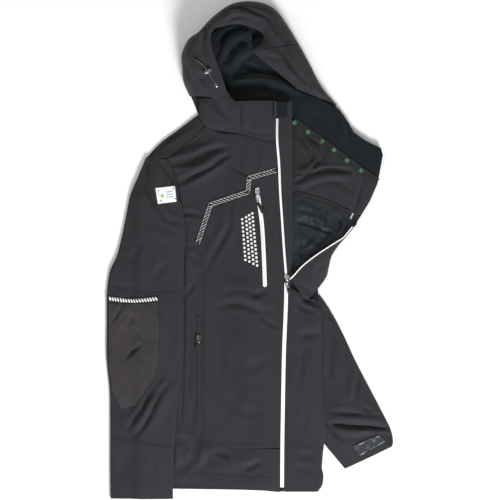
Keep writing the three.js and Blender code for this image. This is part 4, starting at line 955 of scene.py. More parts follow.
def lining_height(x, y):
    lie = mix(4.4, 17, ramp(y, 346, 412)) + ridges(LINING_FOLDS, x, y)
    return np.clip(lie + creases(LINING_CREASES, x, y), ABOVE_BACK, 25.5)


hood_inside = cut_panel("hood_inside", "hood_lining", lining_height, step=3)
FOOT_LEFT = at([(203, 93), (209, 97), (216, 101), (224, 108)])
FOOT_RIGHT = at([(228.5, 93), (230, 97), (234, 101), (241, 107)])


def hood_foot(u, v):
    """The end of the hood's casing band, which runs down onto the collar and is sewn to it."""
    place = between(FOOT_LEFT, FOOT_RIGHT, v, u)
    rounded_off = 3 * np.sin(np.pi * np.clip(u, 0.02, 0.98)) ** 0.5
    place[:, 2] = mix(mix(35.5, 31, v), mix(34, 33, v), u) + rounded_off - 2
    return place


foot = laid_sheet("hood_foot", None, 22, 22, hood_foot)
LIP_OUTER = at([(226, 77), (240, 74), (256, 72.5), (270, 74), (282, 79), (296, 88), (305, 95)])
LIP_EDGE = at([(229, 86), (240, 83), (255, 81.5), (270, 82.5), (284, 87), (297, 94), (306, 99)])


def hood_lip(u, v):
    """The seam where hood and collar meet. It stands up and hangs a little over the hollow below."""
    place = between(LIP_OUTER, LIP_EDGE, v, u)
    rise = 15 * np.sin(np.pi * np.clip(v, 0.03, 0.97)) ** 0.8
    place[:, 2] = 6 + rise * ramp(u, 0, 0.75) - 3 * ramp(u, 0.75, 1)
    return place


lip = laid_sheet("hood_lip", None, 20, 60, hood_lip)
hood_base = cut_panel("hood_base", "hood_back", lambda x, y: np.full(np.shape(x), REST), step=14)
print("cloth pieces:", len(cloth_pieces))

# %% [markdown]
# ## Laying things on the cloth
# Whatever is sewn or printed on a panel has to follow its folds. A ray from above finds the cloth under
# each point and its slope, so tapes, stitches and prints are made from the panel's own points.

# %% Find the cloth from above
def surface_of(pieces):
    corners, faces = [], []
    for piece in pieces:
        base = len(corners)
        corners += [v.co.copy() for v in piece.data.vertices]
        faces += [[base + i for i in polygon.vertices] for polygon in piece.data.polygons]
    return BVHTree.FromPolygons(corners, faces)


cloth_top = surface_of(cloth_pieces)
DOWN = Vector((0, 0, -1))


def drop(x, y, lift=0.0, tree=None):
    """The place on the cloth under (x, y), lifted along its slope, in millimetres, and that slope."""
    place, normal, _, _ = (tree or cloth_top).ray_cast(Vector((x * 0.001, y * 0.001, 0.2)), DOWN)
    if place is None:
        return None, None
    if normal.z < 0:
        normal = -normal
    return (place + normal * lift * 0.001) * 1000, normal


def heights_on(tree, x, y, lift):
    """Heights of the cloth under many places. Just outside its edge, the nearest point counts."""
    z = []
    for a, b in zip(x, y):
        place = drop(a, b, 0, tree)[0]
        if place is None:
            place = tree.find_nearest(Vector((a, b, z[-1] if z else 10)) * 0.001)[0] * 1000
        z.append(place.z)
    return np.array(z) + lift


def straight_line(points, count):
    """Evenly spaced places along straight runs, so that corners stay sharp."""
    p = np.array([list(q)[:2] for q in points], float)
    run = run_along(p)
    places = np.linspace(0, run[-1], count + 1)
    return np.column_stack([np.interp(places, run, p[:, k]) for k in (0, 1)])


def beside(line, by):
    """The line moved sideways by a distance, to its left where it is positive."""
    line = np.asarray(line, float)[:, :2]
    tangent = np.gradient(line, axis=0)
    tangent /= np.maximum(1e-9, np.linalg.norm(tangent, axis=1))[:, None]
    return line + np.column_stack([-tangent[:, 1], tangent[:, 0]]) * by


def ribbon(line, wide, height=None, lift=0.0, crown=0.0, groove=0.0, taper=None, level=False):
    """Places of a ribbon along a line. It lies on the cloth unless a height is given. A level ribbon
    bridges a seam that runs under it."""
    line = np.asarray(line, float)[:, :2]
    shares = np.linspace(0, 1, len(line))
    side = beside(line, 1) - line

    def place(u, v):
        half = wide / 2 * (np.ones(len(v)) if taper is None else taper(v))
        across = (0.5 - u) * 2 * half
        centre = np.column_stack([np.interp(v, shares, line[:, k]) for k in (0, 1)])
        out = np.column_stack([np.interp(v, shares, side[:, k]) for k in (0, 1)])
        spot = centre + out * across[:, None]
        z = heights_on(cloth_top, spot[:, 0], spot[:, 1], lift) if height is None else height(*spot.T)
        if level:
            z = np.array([z[np.abs(v - share) < 1e-4].max() for share in v])
        z = z + crown * (1 - (2 * u - 1) ** 2) - groove * np.exp(-(((u - 0.5) / 0.06) ** 2))
        return np.column_stack([spot, z])

    return place


# %% [markdown]
# ## Zips
# The main zip is closed below its slider and open above it. Each tape carries a coil of small teeth. The
# chest zip and the hand pocket's zip are closed.

# %% Main zip, chest zip and pocket
def on_zip(top, bottom, count=160):
    y = np.linspace(top, bottom, count)
    return np.column_stack([zip_x(y), y])


def tape_height(x, y):
    return FRONT_HIGH + NECK_RISE * ramp(y, 110, 235)


closed_zip = on_zip(-66, -474)
open_zip = on_zip(262, -54)
TRIM_THICK = 1.2
TRIM_LIFT = 0.75
TEETH_PITCH = 1.6
zip_chain = laid_sheet(
    "zip_closed", "zip_chain", 12, 150, ribbon(closed_zip, ZIP_WIDE - 1.6, tape_height, groove=0.5),
    thick=CLOTH)
tape_right = laid_sheet(
    "zip_tape_r", "zip_tape_right", 4, 120, ribbon(open_zip, 4, tape_height), thick=CLOTH)


def turned_tape(u, v):
    edge = turned_front(np.zeros(len(v)), 0.94 * v)
    away = mix(0.6, 2.8, u)
    foot = np.clip(1 - v / 0.05, 0, 1)
    x, y = edge[:, 0] - 0.62 * away - 4.5 * foot, edge[:, 1] + 0.78 * away - 3 * foot
    return np.column_stack([x, y, edge[:, 2] + 1.4])


def garage(u, v):
    """The little fleece pocket that hides the slider at the chin, above the end of the teeth."""
    x, y = mix(46, 75, u), mix(296, 264, v)
    return np.column_stack([x, y, heights_on(cloth_top, x, y, 1.3) - 0.7 * np.sin(np.pi * u)])


zip_garage = laid_sheet("zip_garage", None, 10, 20, garage, thick=TRIM_THICK)
tape_left = laid_sheet("zip_tape_l", "zip_tape_left", 4, 90, turned_tape, thick=TRIM_THICK)


TURNED_INSIDE = at([(311, 258), (325, 248), (337, 238.5), (346, 228), (351.5, 214)])
TURNED_OUTSIDE = at([(313, 261), (327, 252), (338.5, 244.5), (350.6, 231.2), (356.4, 223), (360.4, 216)])


def turned_hem(u, v):
    place = between(TURNED_OUTSIDE, TURNED_INSIDE, v, u)
    place[:, 2] = np.interp(v, [0, 0.35, 0.7, 0.88, 1], [20, 19.5, 17.5, 13, 10.4]) - 2.5 * u
    return place


turned_edge = laid_sheet("turned_edge", None, 8, 60, turned_hem, thick=TRIM_THICK)

CHEST_ZIP = [(14, 124), (19, 88), (24, 50), (27.5, -10), (30, -74)]
chest_line = smooth_line(CHEST_ZIP, 120)


def round_end(v):
    return np.sqrt(np.clip(1 - np.clip((v - 0.978) / 0.022, 0, 1) ** 2, 0.02, 1))


chest_zip = laid_sheet(
    "zip_chest", "chest_zip", 10, 90,
    ribbon(chest_line, ZIP_WIDE - 1.4, lift=TRIM_LIFT, groove=0.4, taper=round_end), thick=TRIM_THICK)
POCKET_LINE = [(-103, -132), (-103, -322)]
pocket_welt = laid_sheet(
    "pocket_welt", "hand_pocket_welt", 8, 80,
    ribbon(straight_line(POCKET_LINE, 60), 6, lift=TRIM_LIFT, crown=0.5, groove=1.0), thick=TRIM_THICK)


def turned_to(direction):
    return direction.to_track_quat("Z", "Y").to_matrix().to_4x4()


def rod(bm, middle, direction, length, radius, segments, taper=1.0):
    """A small bar or disc. Its middle is in metres and its sizes are in millimetres."""
    bmesh.ops.create_cone(
        bm, cap_ends=True, segments=segments, radius1=radius * 0.001, radius2=radius * taper * 0.001,
        depth=length * 0.001, matrix=Matrix.Translation(middle) @ turned_to(direction))


def teeth(name, line, height, wide, shift=0.0, radius=0.45, pitch=TEETH_PITCH):
    """A coil's turns: small bars across the zip, every pitch along it."""
    line = np.asarray(line, float)[:, :2]
    places = straight_line(line, int(run_along(line)[-1] / pitch))
    side = beside(places, 1) - places
    bm = bmesh.new()
    for (x, y), (sx, sy) in zip(places + side * shift, side):
        rod(bm, Vector((x, y, height(x, y))) * 0.001, Vector((sx, sy, 0)), wide, radius, 6)
    return small_piece(bm, name)


def chain_top(x, y):
    return float(tape_height(x, y)) + 0.85


def chest_top(x, y):
    return drop(x, y, 1.55)[0].z


left_edge = turned_tape(np.full(90, 0.85), np.linspace(0.02, 0.98, 90))
corner_top = surface_of([turned_edge, turned, facing, facing_edge])


def peek_top(x, y):
    """The end of the left half's teeth, which peeks out of the seam at the facing's corner."""
    return drop(x, y, 0.5, corner_top)[0].z


def left_top(x, y):
    return float(np.interp(x, left_edge[:, 0], left_edge[:, 2])) + 0.7


coil_closed = teeth("coil_closed", closed_zip, chain_top, 4.6)
coil_right = teeth("coil_right", open_zip, chain_top, 2.2, shift=1.4)
coil_chest = teeth("coil_chest", chest_line[:-3], chest_top, 4.2)
coil_left = teeth("coil_left", left_edge, left_top, 1.2, radius=0.35)
coil_peek = teeth("coil_peek", at([(350.6, 218.6), (353, 213.6)]), peek_top, 2.6, radius=0.6, pitch=1.4)
print("zips laid")

# %% [markdown]
# ## Stitching
# Seams of a softshell are sewn and then stitched down again beside the seam. Each stitch is a small bar
# of thread that lies on the cloth, dipping with it. The chest seam is sewn with pale thread in a ladder.

# %% Stitches
def sew(bm, line, stitch=3.0, gap=0.9, radius=0.3, lift=0.14, tree=None):
    line = np.asarray(line, float)[:, :2]
    run = run_along(line)
    for start in np.arange(0, max(run[-1] - stitch, 0.1), stitch + gap):
        ends = []
        for place in (start, start + stitch):
            x, y = (np.interp(place, run, line[:, k]) for k in (0, 1))
            ends.append(drop(x, y, lift, tree)[0])
        if None in ends or abs(ends[0].z - ends[1].z) > stitch:
            continue
        along = ends[1] - ends[0]
        rod(bm, (ends[0] + ends[1]) * 0.0005, along, along.length, radius, 4)


def stitching(name, rows, **options):
    bm = bmesh.new()
    for line in rows:
        sew(bm, line, **options)
    piece = small_piece(bm, name)
    print(name, len(piece.data.polygons))
    return piece


SEAM_ROWS = [
    ((-2.2, 2.2), [(202.5, 255), (203, 280), (202.5, 330), (202.3, 380), (202.2, 438)]),
    ((5, 9), [(175, 430), (197.5, 436.5), (208.7, 443.7), (220, 447), (244, 447.6), (277, 448)]),
    ((0, 3), [(174, 474), (200, 475), (240, 477), (278, 478)]),
    ((0,), [(287, 478.5), (300, 478), (320, 477)]),
    ((4, 8), [(288, 448.4), (304, 448.4), (320, 448)]),
    ((0,), [(278, 142), (278.5, 180), (279.5, 230), (280, 262), (279, 330), (277.5, 400), (276.5, 483)]),
    ((0,), [(290.5, 300), (289.6, 350), (288, 420), (287, 483)]),
    ((0,), [(252, 189), (275, 184)]),
    ((-1.6, 1.6), [(205, 125), (200, 133), (190, 140), (175, 148), (168, 160)]),
    ((-1.5, 1.5), [(107, 291), (130, 292), (158, 293), (181, 290)]),
    ((-1.5, 1.5), [(110, 437), (140, 442), (173, 447)]),
    ((0,), [(111, 482), (140, 483), (173, 482)]),
    ((-1.5, 1.5), [(324, 407), (340, 405.5), (358.6, 404), (371, 412)]),
    ((2.5,), [(241.5, 104), (241.5, 132)]),
    ((0,), [(243, 104.5), (270, 104)]),
    ((0,), [(207.5, 24.6), (199, 36.4), (197.2, 46), (198.4, 55.7), (203, 70), (209, 84), (216, 97)]),
]
dark_rows = []
for offsets, places in SEAM_ROWS:
    line = smooth_line(at(places), 24 * len(places))
    dark_rows += [beside(line, by) for by in offsets]
dark_stitches = stitching("stitches_dark", dark_rows)

CHEST_SEAM = at([(197, 245), (210.5, 204.5), (248, 192), (249, 178), (276, 170.5)])
CHEST_STEPS = 104
chest_run = straight_line(CHEST_SEAM, CHEST_STEPS)
seam_band = laid_sheet(
    "seam_band", None, 8, CHEST_STEPS, ribbon(chest_run, 9.6, lift=TRIM_LIFT, crown=0.35, level=True),
    thick=TRIM_THICK)
band_top = surface_of([seam_band])
ROW_APART = 3.9
outer_rows = [beside(chest_run, by) for by in (-ROW_APART, ROW_APART)]
low_row, high_row = outer_rows
slanted = [[tuple(a), tuple(b)] for a, b in zip(low_row[4::3], high_row[:-4:3])]
pale_stitches = stitching("stitches_pale", outer_rows, stitch=4.4, gap=1.2, radius=0.24, tree=band_top)
ladder_stitches = stitching("stitches_ladder", slanted, stitch=16, gap=9, radius=0.36, tree=band_top)

# %% [markdown]
# ## Trims on the cloth
# The sleeve has a pale patch, a twisted reflective tape and a mesh panel at the elbow. A printed grid of
# dots stands beside the chest zip. Inside, a tape covers the collar seam and edges the pocket.

# %% Patch, tapes and dots
PATCH_LEFT = [(-189, 123.6), (-183.6, 92)]
PATCH_RIGHT = [(-150.5, 128), (-147, 97)]


def patch_place(u, v):
    spot = between(PATCH_LEFT, PATCH_RIGHT, v, u)
    z = heights_on(cloth_top, spot[:, 0], spot[:, 1], TRIM_LIFT)
    edge = np.minimum(np.minimum(u, 1 - u) * 40, np.minimum(v, 1 - v) * 32)
    return np.column_stack([spot[:, :2], z + 0.35 * np.exp(-(((edge - 1.6) / 0.7) ** 2))])


sleeve_patch = laid_sheet("patch", "sleeve_patch", 40, 32, patch_place, thick=TRIM_THICK)

SLEEVE_TAPE = [(-285.4, -96.5), (-236, -101.5), (-182, -96.5)]
tape_line = smooth_line(SLEEVE_TAPE, 60)
sleeve_tape = laid_sheet(
    "tape_sleeve", "sleeve_tape", 6, 60, ribbon(tape_line, 8.6, lift=TRIM_LIFT, crown=0.3), thick=TRIM_THICK)


def bars(name, line, pitch, wide, slant, thick, lift):
    """Slanted bars across a tape, as the turns of a twisted cord."""
    places = straight_line(line, int(run_along(line[:, :2])[-1] / pitch))
    side = beside(places, 1) - places
    forward = np.column_stack([side[:, 1], -side[:, 0]])
    bm = bmesh.new()
    for place, out, ahead in zip(places[1:-1], side[1:-1], forward[1:-1]):
        ends = []
        for sign in (-1, 1):
            x, y = place + sign * (out * wide / 2 + ahead * slant / 2)
            ends.append(drop(x, y, lift)[0])
        along = ends[1] - ends[0]
        stretch = Matrix.Diagonal((thick, thick, along.length, 1))
        bmesh.ops.create_uvsphere(
            bm, u_segments=8, v_segments=6, radius=0.0005,
            matrix=Matrix.Translation((ends[0] + ends[1]) * 0.0005) @ turned_to(along) @ stretch)
    piece = small_piece(bm, name)
    piece.data.shade_smooth()
    return piece


sleeve_twist = bars("tape_twist", tape_line, 5.2, 8.2, -3.6, 3.7, 1.7)

elbow_mesh = cut_panel(
    "elbow", "elbow_mesh", lambda x, y: heights_on(cloth_top, x, y, 1.2), thick=TRIM_THICK, step=3.5)
NECK_TAPE = [(86, 259), (116, 238), (144, 218), (168, 200), (194, 180), (224, 158), (255, 136.6)]
neck_line = smooth_line(NECK_TAPE, 90)
neck_tape = laid_sheet(
    "tape_neck", "neck_tape", 8, 90, ribbon(neck_line, 14, lift=1.3), thick=TRIM_THICK)
POCKET_TAPE = [(90, 113), (150, 96), (200, 73)]
inner_tape = laid_sheet(
    "tape_pocket", "inner_pocket_tape", 6, 60, ribbon(smooth_line(POCKET_TAPE, 60), 10, lift=1.3),
    thick=TRIM_THICK)
TAB_UPPER = [(205, -392), (232, -380), (258, -370)]
TAB_LOWER = [(219, -412), (246, -396), (272, -382)]


def tab_place(u, v):
    spot = between(TAB_UPPER, TAB_LOWER, u, v)
    z = heights_on(cloth_top, spot[:, 0], spot[:, 1], 1.1)
    rim = np.minimum(np.minimum(u, 1 - u) * 58, np.minimum(v, 1 - v) * 24)
    wrinkle = 0.6 * np.sin(14 * u + 3 * v) * np.sin(5 * u - 4 * v + 1) * np.clip(rim / 5, 0, 1)
    return np.column_stack([spot[:, :2], z + wrinkle + 0.5 * np.exp(-(((rim - 1.8) / 0.8) ** 2))])


cuff_tab = laid_sheet("tab_cuff", "cuff_tab", 50, 22, tab_place, thick=TRIM_THICK)


def discs(name, places, radius, lift, tree=None, height=0.35, segments=10):
    """Small raised discs, each tilted with the cloth under it."""
    bm = bmesh.new()
    for x, y in places:
        spot, normal = drop(x, y, lift, tree)
        rod(bm, spot * 0.001, normal, height, radius, segments, taper=0.85)
    return small_piece(bm, name)


dot_places = []
for (x0, y0), (x1, y1), count in [
    ((242.2, 219.3), (245.4, 259.8), 11), ((246.1, 217.2), (249.4, 261.4), 12),
    ((249.1, 215.2), (253.4, 263.6), 13), ((252.3, 213.4), (257.1, 265.4), 14),
]:
    dot_places += at([(mix(x0, x1, k / (count - 1)), mix(y0, y1, k / (count - 1))) for k in range(count)])
chest_dots = discs("dots_chest", dot_places, 2.6, 0.15)
trim_top = surface_of([sleeve_patch, neck_tape])
patch_dots = discs(
    "dots_patch", at([(159, 191), (173.4, 188.8), (161, 201), (175.6, 199)]), 1.5, 0.1, trim_top, 0.25)
print("trims laid")

# %% [markdown]
# ## Nets
# The shoulder, the elbow and the lining carry a knitted net over the cloth. The panel's outline is cut
# slantwise both ways into small lozenges, and the Wireframe modifier turns their edges into threads with
# real holes between them.

# %% Nets over the mesh panels
NET_LIFT = 0.2


def net(name, node, pitch, thread, under):
    bm = bmesh.new()
    bm.faces.new([bm.verts.new((x, y, 0)) for x, y in top_outline(node)])
    for lean in (1, -1):
        normal = Vector((0.82, 0.57 * lean, 0)).normalized()
        reach = [v.co.dot(normal) for v in bm.verts]
        for place in np.arange(min(reach) + pitch / 2, max(reach), pitch):
            geometry = bm.verts[:] + bm.edges[:] + bm.faces[:]
            bmesh.ops.bisect_plane(bm, geom=geometry, plane_co=normal * place, plane_no=normal, dist=1e-4)
    piece = small_piece(bm, name)
    flat_uv(piece.data)
    co = points_of(piece.data)
    co[:, 2] = heights_on(surface_of([under]), co[:, 0], co[:, 1], NET_LIFT)
    place_points(piece.data, co)
    wires = piece.modifiers.new("threads", "WIREFRAME")
    wires.thickness = thread * 0.001
    wires.use_even_offset = False
    apply_modifiers(piece)
    print(name, len(piece.data.polygons))
    return piece


elbow_net = net("net_elbow", "elbow_mesh", 3.0, 0.8, elbow_mesh)
shoulder_net = net("net_shoulder", "shoulder_mesh_right", 3.8, 1.0, shoulder_mesh)
lining_net = net("net_lining", "mesh_lining", 3.8, 0.9, mesh_lining)

# %% [markdown]
# ## Marks on the neck tape and the patch
# The tape in the neck carries small woven leaf-green lozenges, and the patch a ring and three bars.
# They are plain shapes of no one's making.

# %% Woven marks
LONGEST = 30


def woven(name, lines, radius):
    """Short straight lines of thread on a tape or patch, one stroke each."""
    bm = bmesh.new()
    for line in lines:
        length = float(run_along(line)[-1])
        sew(bm, line, stitch=min(LONGEST, length - 0.01), gap=1, radius=radius, lift=0.2, tree=trim_top)
    return small_piece(bm, name)


lozenges = []
MARK_HALF = 4.2
CROSS = 1.6
for x, y in at([(294.5, 122.5), (308, 132), (322, 141.5), (334, 150), (347, 160.5), (361, 170.5)]):
    corners = [(x + MARK_HALF, y), (x, y + MARK_HALF), (x - MARK_HALF, y), (x, y - MARK_HALF)]
    lozenges += [[a, b] for a, b in zip(corners, corners[1:] + corners[:1])]
    lozenges += [[(x - CROSS, y - lean), (x + CROSS, y + lean)] for lean in (CROSS, -CROSS)]
green_marks = woven("marks_green", lozenges, 0.75)
patch_ring = discs("mark_ring", at([(162.5, 196)]), 3.4, 0.1, trim_top, 0.22, segments=14)
patch_bars = woven("mark_bars", [at([(166.5, r), (173, r - 0.9)]) for r in (192.6, 195.2, 197.8)], 0.7)

# %% [markdown]
# ## Hardware
# Sliders, wire loops, tabs, the cord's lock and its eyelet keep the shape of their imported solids. Real
# die-cast and moulded parts have no sharp edges, so every edge of a merged copy is bevelled.

# %% Rounded hardware
def rounded(name, node, offset, segments=2, body="garment"):
    bm = bmesh.new()
    bm.from_mesh(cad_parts[node].data)
    bmesh.ops.remove_doubles(bm, verts=bm.verts, dist=1e-6)
    bmesh.ops.dissolve_limit(bm, angle_limit=math.radians(3), verts=bm.verts, edges=bm.edges)
    sharp = [e for e in bm.edges if e.is_manifold and e.calc_face_angle() > math.radians(35)]
    bmesh.ops.bevel(
        bm, geom=sharp, offset=offset * 0.001, segments=segments, profile=0.5, affect="EDGES", material=-1,
        clamp_overlap=True)
    piece = link(name, mesh_from(bm, name))
    smoothed(piece.data, 40)
    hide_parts(node)
    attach(piece, body)
    return piece


eyelet = rounded("eyelet", "cord_eyelet", 0.25)
cord_lock = rounded("lock", "cord_lock", 0.4)
zip_box = rounded("zip_box", "zip_end_box", 0.7)
sliders, loops, tabs = [], [], []
for zip_name in ("main", "chest", "hand"):
    pull = f"{zip_name}_pull"
    sliders.append(rounded(f"slider_{zip_name}", f"{zip_name}_slider", 0.35))
    loops.append(rounded(f"loop_{zip_name}", f"{zip_name}_pull_loop", 0.4, 3, pull))
    tabs.append(rounded(f"tab_{zip_name}", f"{zip_name}_pull_tab", 0.5, 3, pull))


def knot():
    """The cord's knot: a ball pressed out of round, with a stub of cord behind it."""
    bm = bmesh.new()
    low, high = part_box("cord_end")
    centre = (low + high) / 2
    bmesh.ops.create_uvsphere(
        bm, u_segments=24, v_segments=16, radius=0.0028,
        matrix=Matrix.Translation(centre) @ Matrix.Diagonal((1.0, 0.9, 0.92, 1)))
    for vert in bm.verts:
        d = vert.co - centre
        groove = math.sin(3 * math.atan2(d.y, d.x) + d.z * 900)
        vert.co = centre + d * (1 + 0.07 * groove)
    piece = small_piece(bm, "cord_knot")
    piece.data.shade_smooth()
    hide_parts("cord_end")
    return piece


cord_knot = knot()


# %% [markdown]
# ## The layers folded under
# Between the back and the front lie the folded layers of the left half. From the side they show as
# three soft edges, one above the other, so they are three rounded slabs of cloth.

# %% Folded layers
LAYERS = 3
LAYER_GAP = 0.0002
OUT_LOWEST = 4.2
OUT_STEP = 2.2


def folded_layers():
    bm = bmesh.new()
    low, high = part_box("folded_under_layers")
    outline = top_outline("folded_under_layers")
    centre = np.mean(outline, axis=0)
    height = (high.z - low.z) / LAYERS
    for layer in range(LAYERS):
        verts = []
        for x, y in outline:
            away = np.array([x, y]) - centre
            grown = np.array([x, y]) + away / np.linalg.norm(away) * (OUT_LOWEST - OUT_STEP * layer)
            verts.append(bm.verts.new((*(grown * 0.001), low.z + layer * height + LAYER_GAP)))
        face = bm.faces.new(verts)
        made = bmesh.ops.extrude_face_region(bm, geom=[face])
        top = [v for v in made["geom"] if isinstance(v, bmesh.types.BMVert)]
        bmesh.ops.translate(bm, vec=(0, 0, height - 2 * LAYER_GAP), verts=top)
    bmesh.ops.recalc_face_normals(bm, faces=bm.faces[:])
    rims = [e for e in bm.edges if e.is_manifold and e.calc_face_angle() > math.radians(60)]
    bmesh.ops.bevel(
        bm, geom=rims, offset=0.0009, segments=3, profile=0.5, affect="EDGES", material=-1,
        clamp_overlap=True)
    piece = small_piece(bm, "layers_under")
    smoothed(piece.data, 50)
    flat_uv(piece.data, 1.0)
    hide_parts("folded_under_layers")
    return piece


layers_under = folded_layers()

# %% [markdown]
# ## Materials
# Softshell is a matt woven polyester bonded to fleece. Its colour is a slightly bluish charcoal with a
# fine fleck, and the weave is far smaller than a pixel, so it shows mostly as a soft sheen at the folds.
# Each finish is built from nodes: a weave on the cloth's own UV map in metres, and slow changes of tone
# over the whole garment.

# %% Material helpers
BUMP_OF_THREAD = 0.3
WAVES_PER_THREAD = 0.314


def new_material(name, color, roughness, **sockets):
    material = bpy.data.materials.new(name)
    material.use_nodes = True
    shader = material.node_tree.nodes["Principled BSDF"]
    shader.inputs["Base Color"].default_value = (*color, 1)
    shader.inputs["Roughness"].default_value = roughness
    for socket, value in sockets.items():
        shader.inputs[socket.replace("_", " ")].default_value = value
    return material, shader


def add_node(material, kind, inputs=None, **settings):
    """A node with its settings. Each input gets a value, or the output of another node to link to."""
    node = material.node_tree.nodes.new(kind)
    for key, value in settings.items():
        setattr(node, key, value)
    for key, value in (inputs or {}).items():
        if isinstance(value, bpy.types.NodeSocket):
            material.node_tree.links.new(value, node.inputs[key])
        else:
            node.inputs[key].default_value = value
    return node


def mixed_color(material, share, dark, light, **settings):
    """The colour output of a mix node. Its two colours are inputs 6 and 7."""
    colors = {0: share, 6: dark, 7: light}
    return add_node(material, "ShaderNodeMix", colors, data_type="RGBA", **settings).outputs[2]


def noise(material, vector, scale, detail):
    values = {"Vector": vector, "Scale": scale, "Detail": detail}
    return add_node(material, "ShaderNodeTexNoise", values).outputs["Fac"]


def finish_shader(material, shader, color, height, strength, distance):
    links = material.node_tree.links
    relief = {"Height": height, "Strength": strength, "Distance": distance}
    bump = add_node(material, "ShaderNodeBump", relief)
    links.new(color, shader.inputs["Base Color"])
    links.new(bump.outputs["Normal"], shader.inputs["Normal"])


def fabric(name, color, thread=0.0008, weave=0.35, mottle=0.12, roughness=0.85, sheen=0.15, specular=0.25,
           tint=(1, 1, 1)):
    """Woven cloth: threads both ways on the UV map, a fleck, and slow changes of tone."""
    material, shader = new_material(
        name, color, roughness, Specular_IOR_Level=specular, Sheen_Weight=sheen, Sheen_Roughness=0.5)
    coords = add_node(material, "ShaderNodeTexCoord").outputs
    threads = {"Vector": coords["UV"], "Scale": WAVES_PER_THREAD / thread, "Detail": 1, "Distortion": 0.6}
    across, along = [
        add_node(material, "ShaderNodeTexWave", threads, bands_direction=direction).outputs["Fac"]
        for direction in ("X", "Y")]
    woven = add_node(material, "ShaderNodeMath", {0: across, 1: along}, operation="MAXIMUM").outputs[0]
    slow = noise(material, coords["Object"], 16, 3)
    fleck = noise(material, coords["Object"], 420, 2)
    tone = add_node(material, "ShaderNodeMix", {0: 0.4, 2: slow, 3: fleck}, data_type="FLOAT").outputs[0]
    shades = add_node(material, "ShaderNodeMapRange", {"From Min": 0.3, "From Max": 0.7, "Value": tone})
    dark = (*[c * (1 - mottle) for c in color], 1)
    light = (*[c * (1 + mottle) * t for c, t in zip(color, tint)], 1)
    mottled = mixed_color(material, shades.outputs["Result"], dark, light)
    shaded = mixed_color(material, weave, mottled, woven, blend_type="MULTIPLY")
    finish_shader(material, shader, shaded, woven, 0.25, thread * BUMP_OF_THREAD)
    return material


def flecked(name, color, roughness, fleck=0.14, size=1200, **sockets):
    """Thread, ink, metal or plastic: a fine fleck in the color, and a finish that is not quite even."""
    material, shader = new_material(name, color, roughness, **sockets)
    grain = noise(material, add_node(material, "ShaderNodeTexCoord").outputs["Object"], size, 3)
    dark = (*[c * (1 - fleck) for c in color], 1)
    light = (*[min(1, c * (1 + fleck)) for c in color], 1)
    gloss = {"Value": grain, "To Min": roughness - 0.1, "To Max": roughness + 0.1}
    dull = add_node(material, "ShaderNodeMapRange", gloss)
    material.node_tree.links.new(dull.outputs["Result"], shader.inputs["Roughness"])
    finish_shader(material, shader, mixed_color(material, grain, dark, light), grain, 0.15, 0.00005)
    return material


# %% Finishes
softshell = fabric("softshell", (0.0237, 0.0244, 0.0285), weave=0.22, tint=(1.02, 1, 1), sheen=0.06)
fleece = fabric("fleece", (0.0059, 0.0089, 0.0111), thread=0.0014, weave=0.2, roughness=0.95, sheen=0.12)
net_thread = fabric("net_thread", (0.111, 0.0984, 0.1147), thread=0.001, mottle=0.25, sheen=0.1)
dark_net = fabric("dark_net", (0.0629, 0.0644, 0.0725), thread=0.001, mottle=0.25, sheen=0.1)
net_ground = fabric("net_ground", (0.0252, 0.0222, 0.0259), thread=0.002, mottle=0.25)
dark_ground = fabric("dark_ground", (0.0067, 0.0074, 0.0089), thread=0.002, mottle=0.25)
lining = fabric("lining", (0.0133, 0.017, 0.0207), thread=0.0005, weave=0.2, roughness=0.62, sheen=0.08,
                specular=0.25)
tape_black = fabric("tape_black", (0.0118, 0.0133, 0.0148), thread=0.0012, weave=0.5, roughness=0.7)
reflective = fabric("reflective", (0.93, 0.93, 0.94), thread=0.0007, weave=0.08, mottle=0.04, roughness=0.5,
                    sheen=0, specular=0.5)
patch_cloth = fabric("patch_cloth", (0.92, 0.94, 0.93), thread=0.0009, weave=0.08, mottle=0.04, roughness=0.7)
dark_thread = flecked("dark_thread", (0.011, 0.011, 0.013), 0.7)
pale_thread = flecked("pale_thread", (0.86, 0.87, 0.89), 0.55)
print_white = flecked("print_white", (0.84, 0.85, 0.86), 0.45, fleck=0.05)
green_woven = flecked("green_woven", (0.0814, 0.2442, 0.1036), 0.7, fleck=0.3)
blue_print = flecked("blue_print", (0.05, 0.28, 0.50), 0.6)
pale_blue = flecked("pale_blue", (0.36, 0.50, 0.68), 0.6)
leaf_print = flecked("leaf_print", (0.35, 0.5, 0.12), 0.6)
coated = fabric("coated", (0.035, 0.039, 0.043), thread=0.0016, weave=0.2, roughness=0.24, sheen=0,
                specular=0.6)
steel = flecked("plated_steel", (0.7, 0.71, 0.73), 0.3, size=900, Metallic=1.0)
dark_steel = flecked("dark_steel", (0.2, 0.2, 0.21), 0.26, size=900, Metallic=1.0)
grey_plastic = flecked("grey_plastic", (0.2, 0.2, 0.21), 0.25, size=1500, Metallic=0.5)
black_plastic = flecked("black_plastic", (0.0133, 0.0133, 0.0148), 0.3, size=1500)
cord_braid = fabric("cord_braid", (0.1, 0.103, 0.11), thread=0.0012, weave=0.9, roughness=0.5)
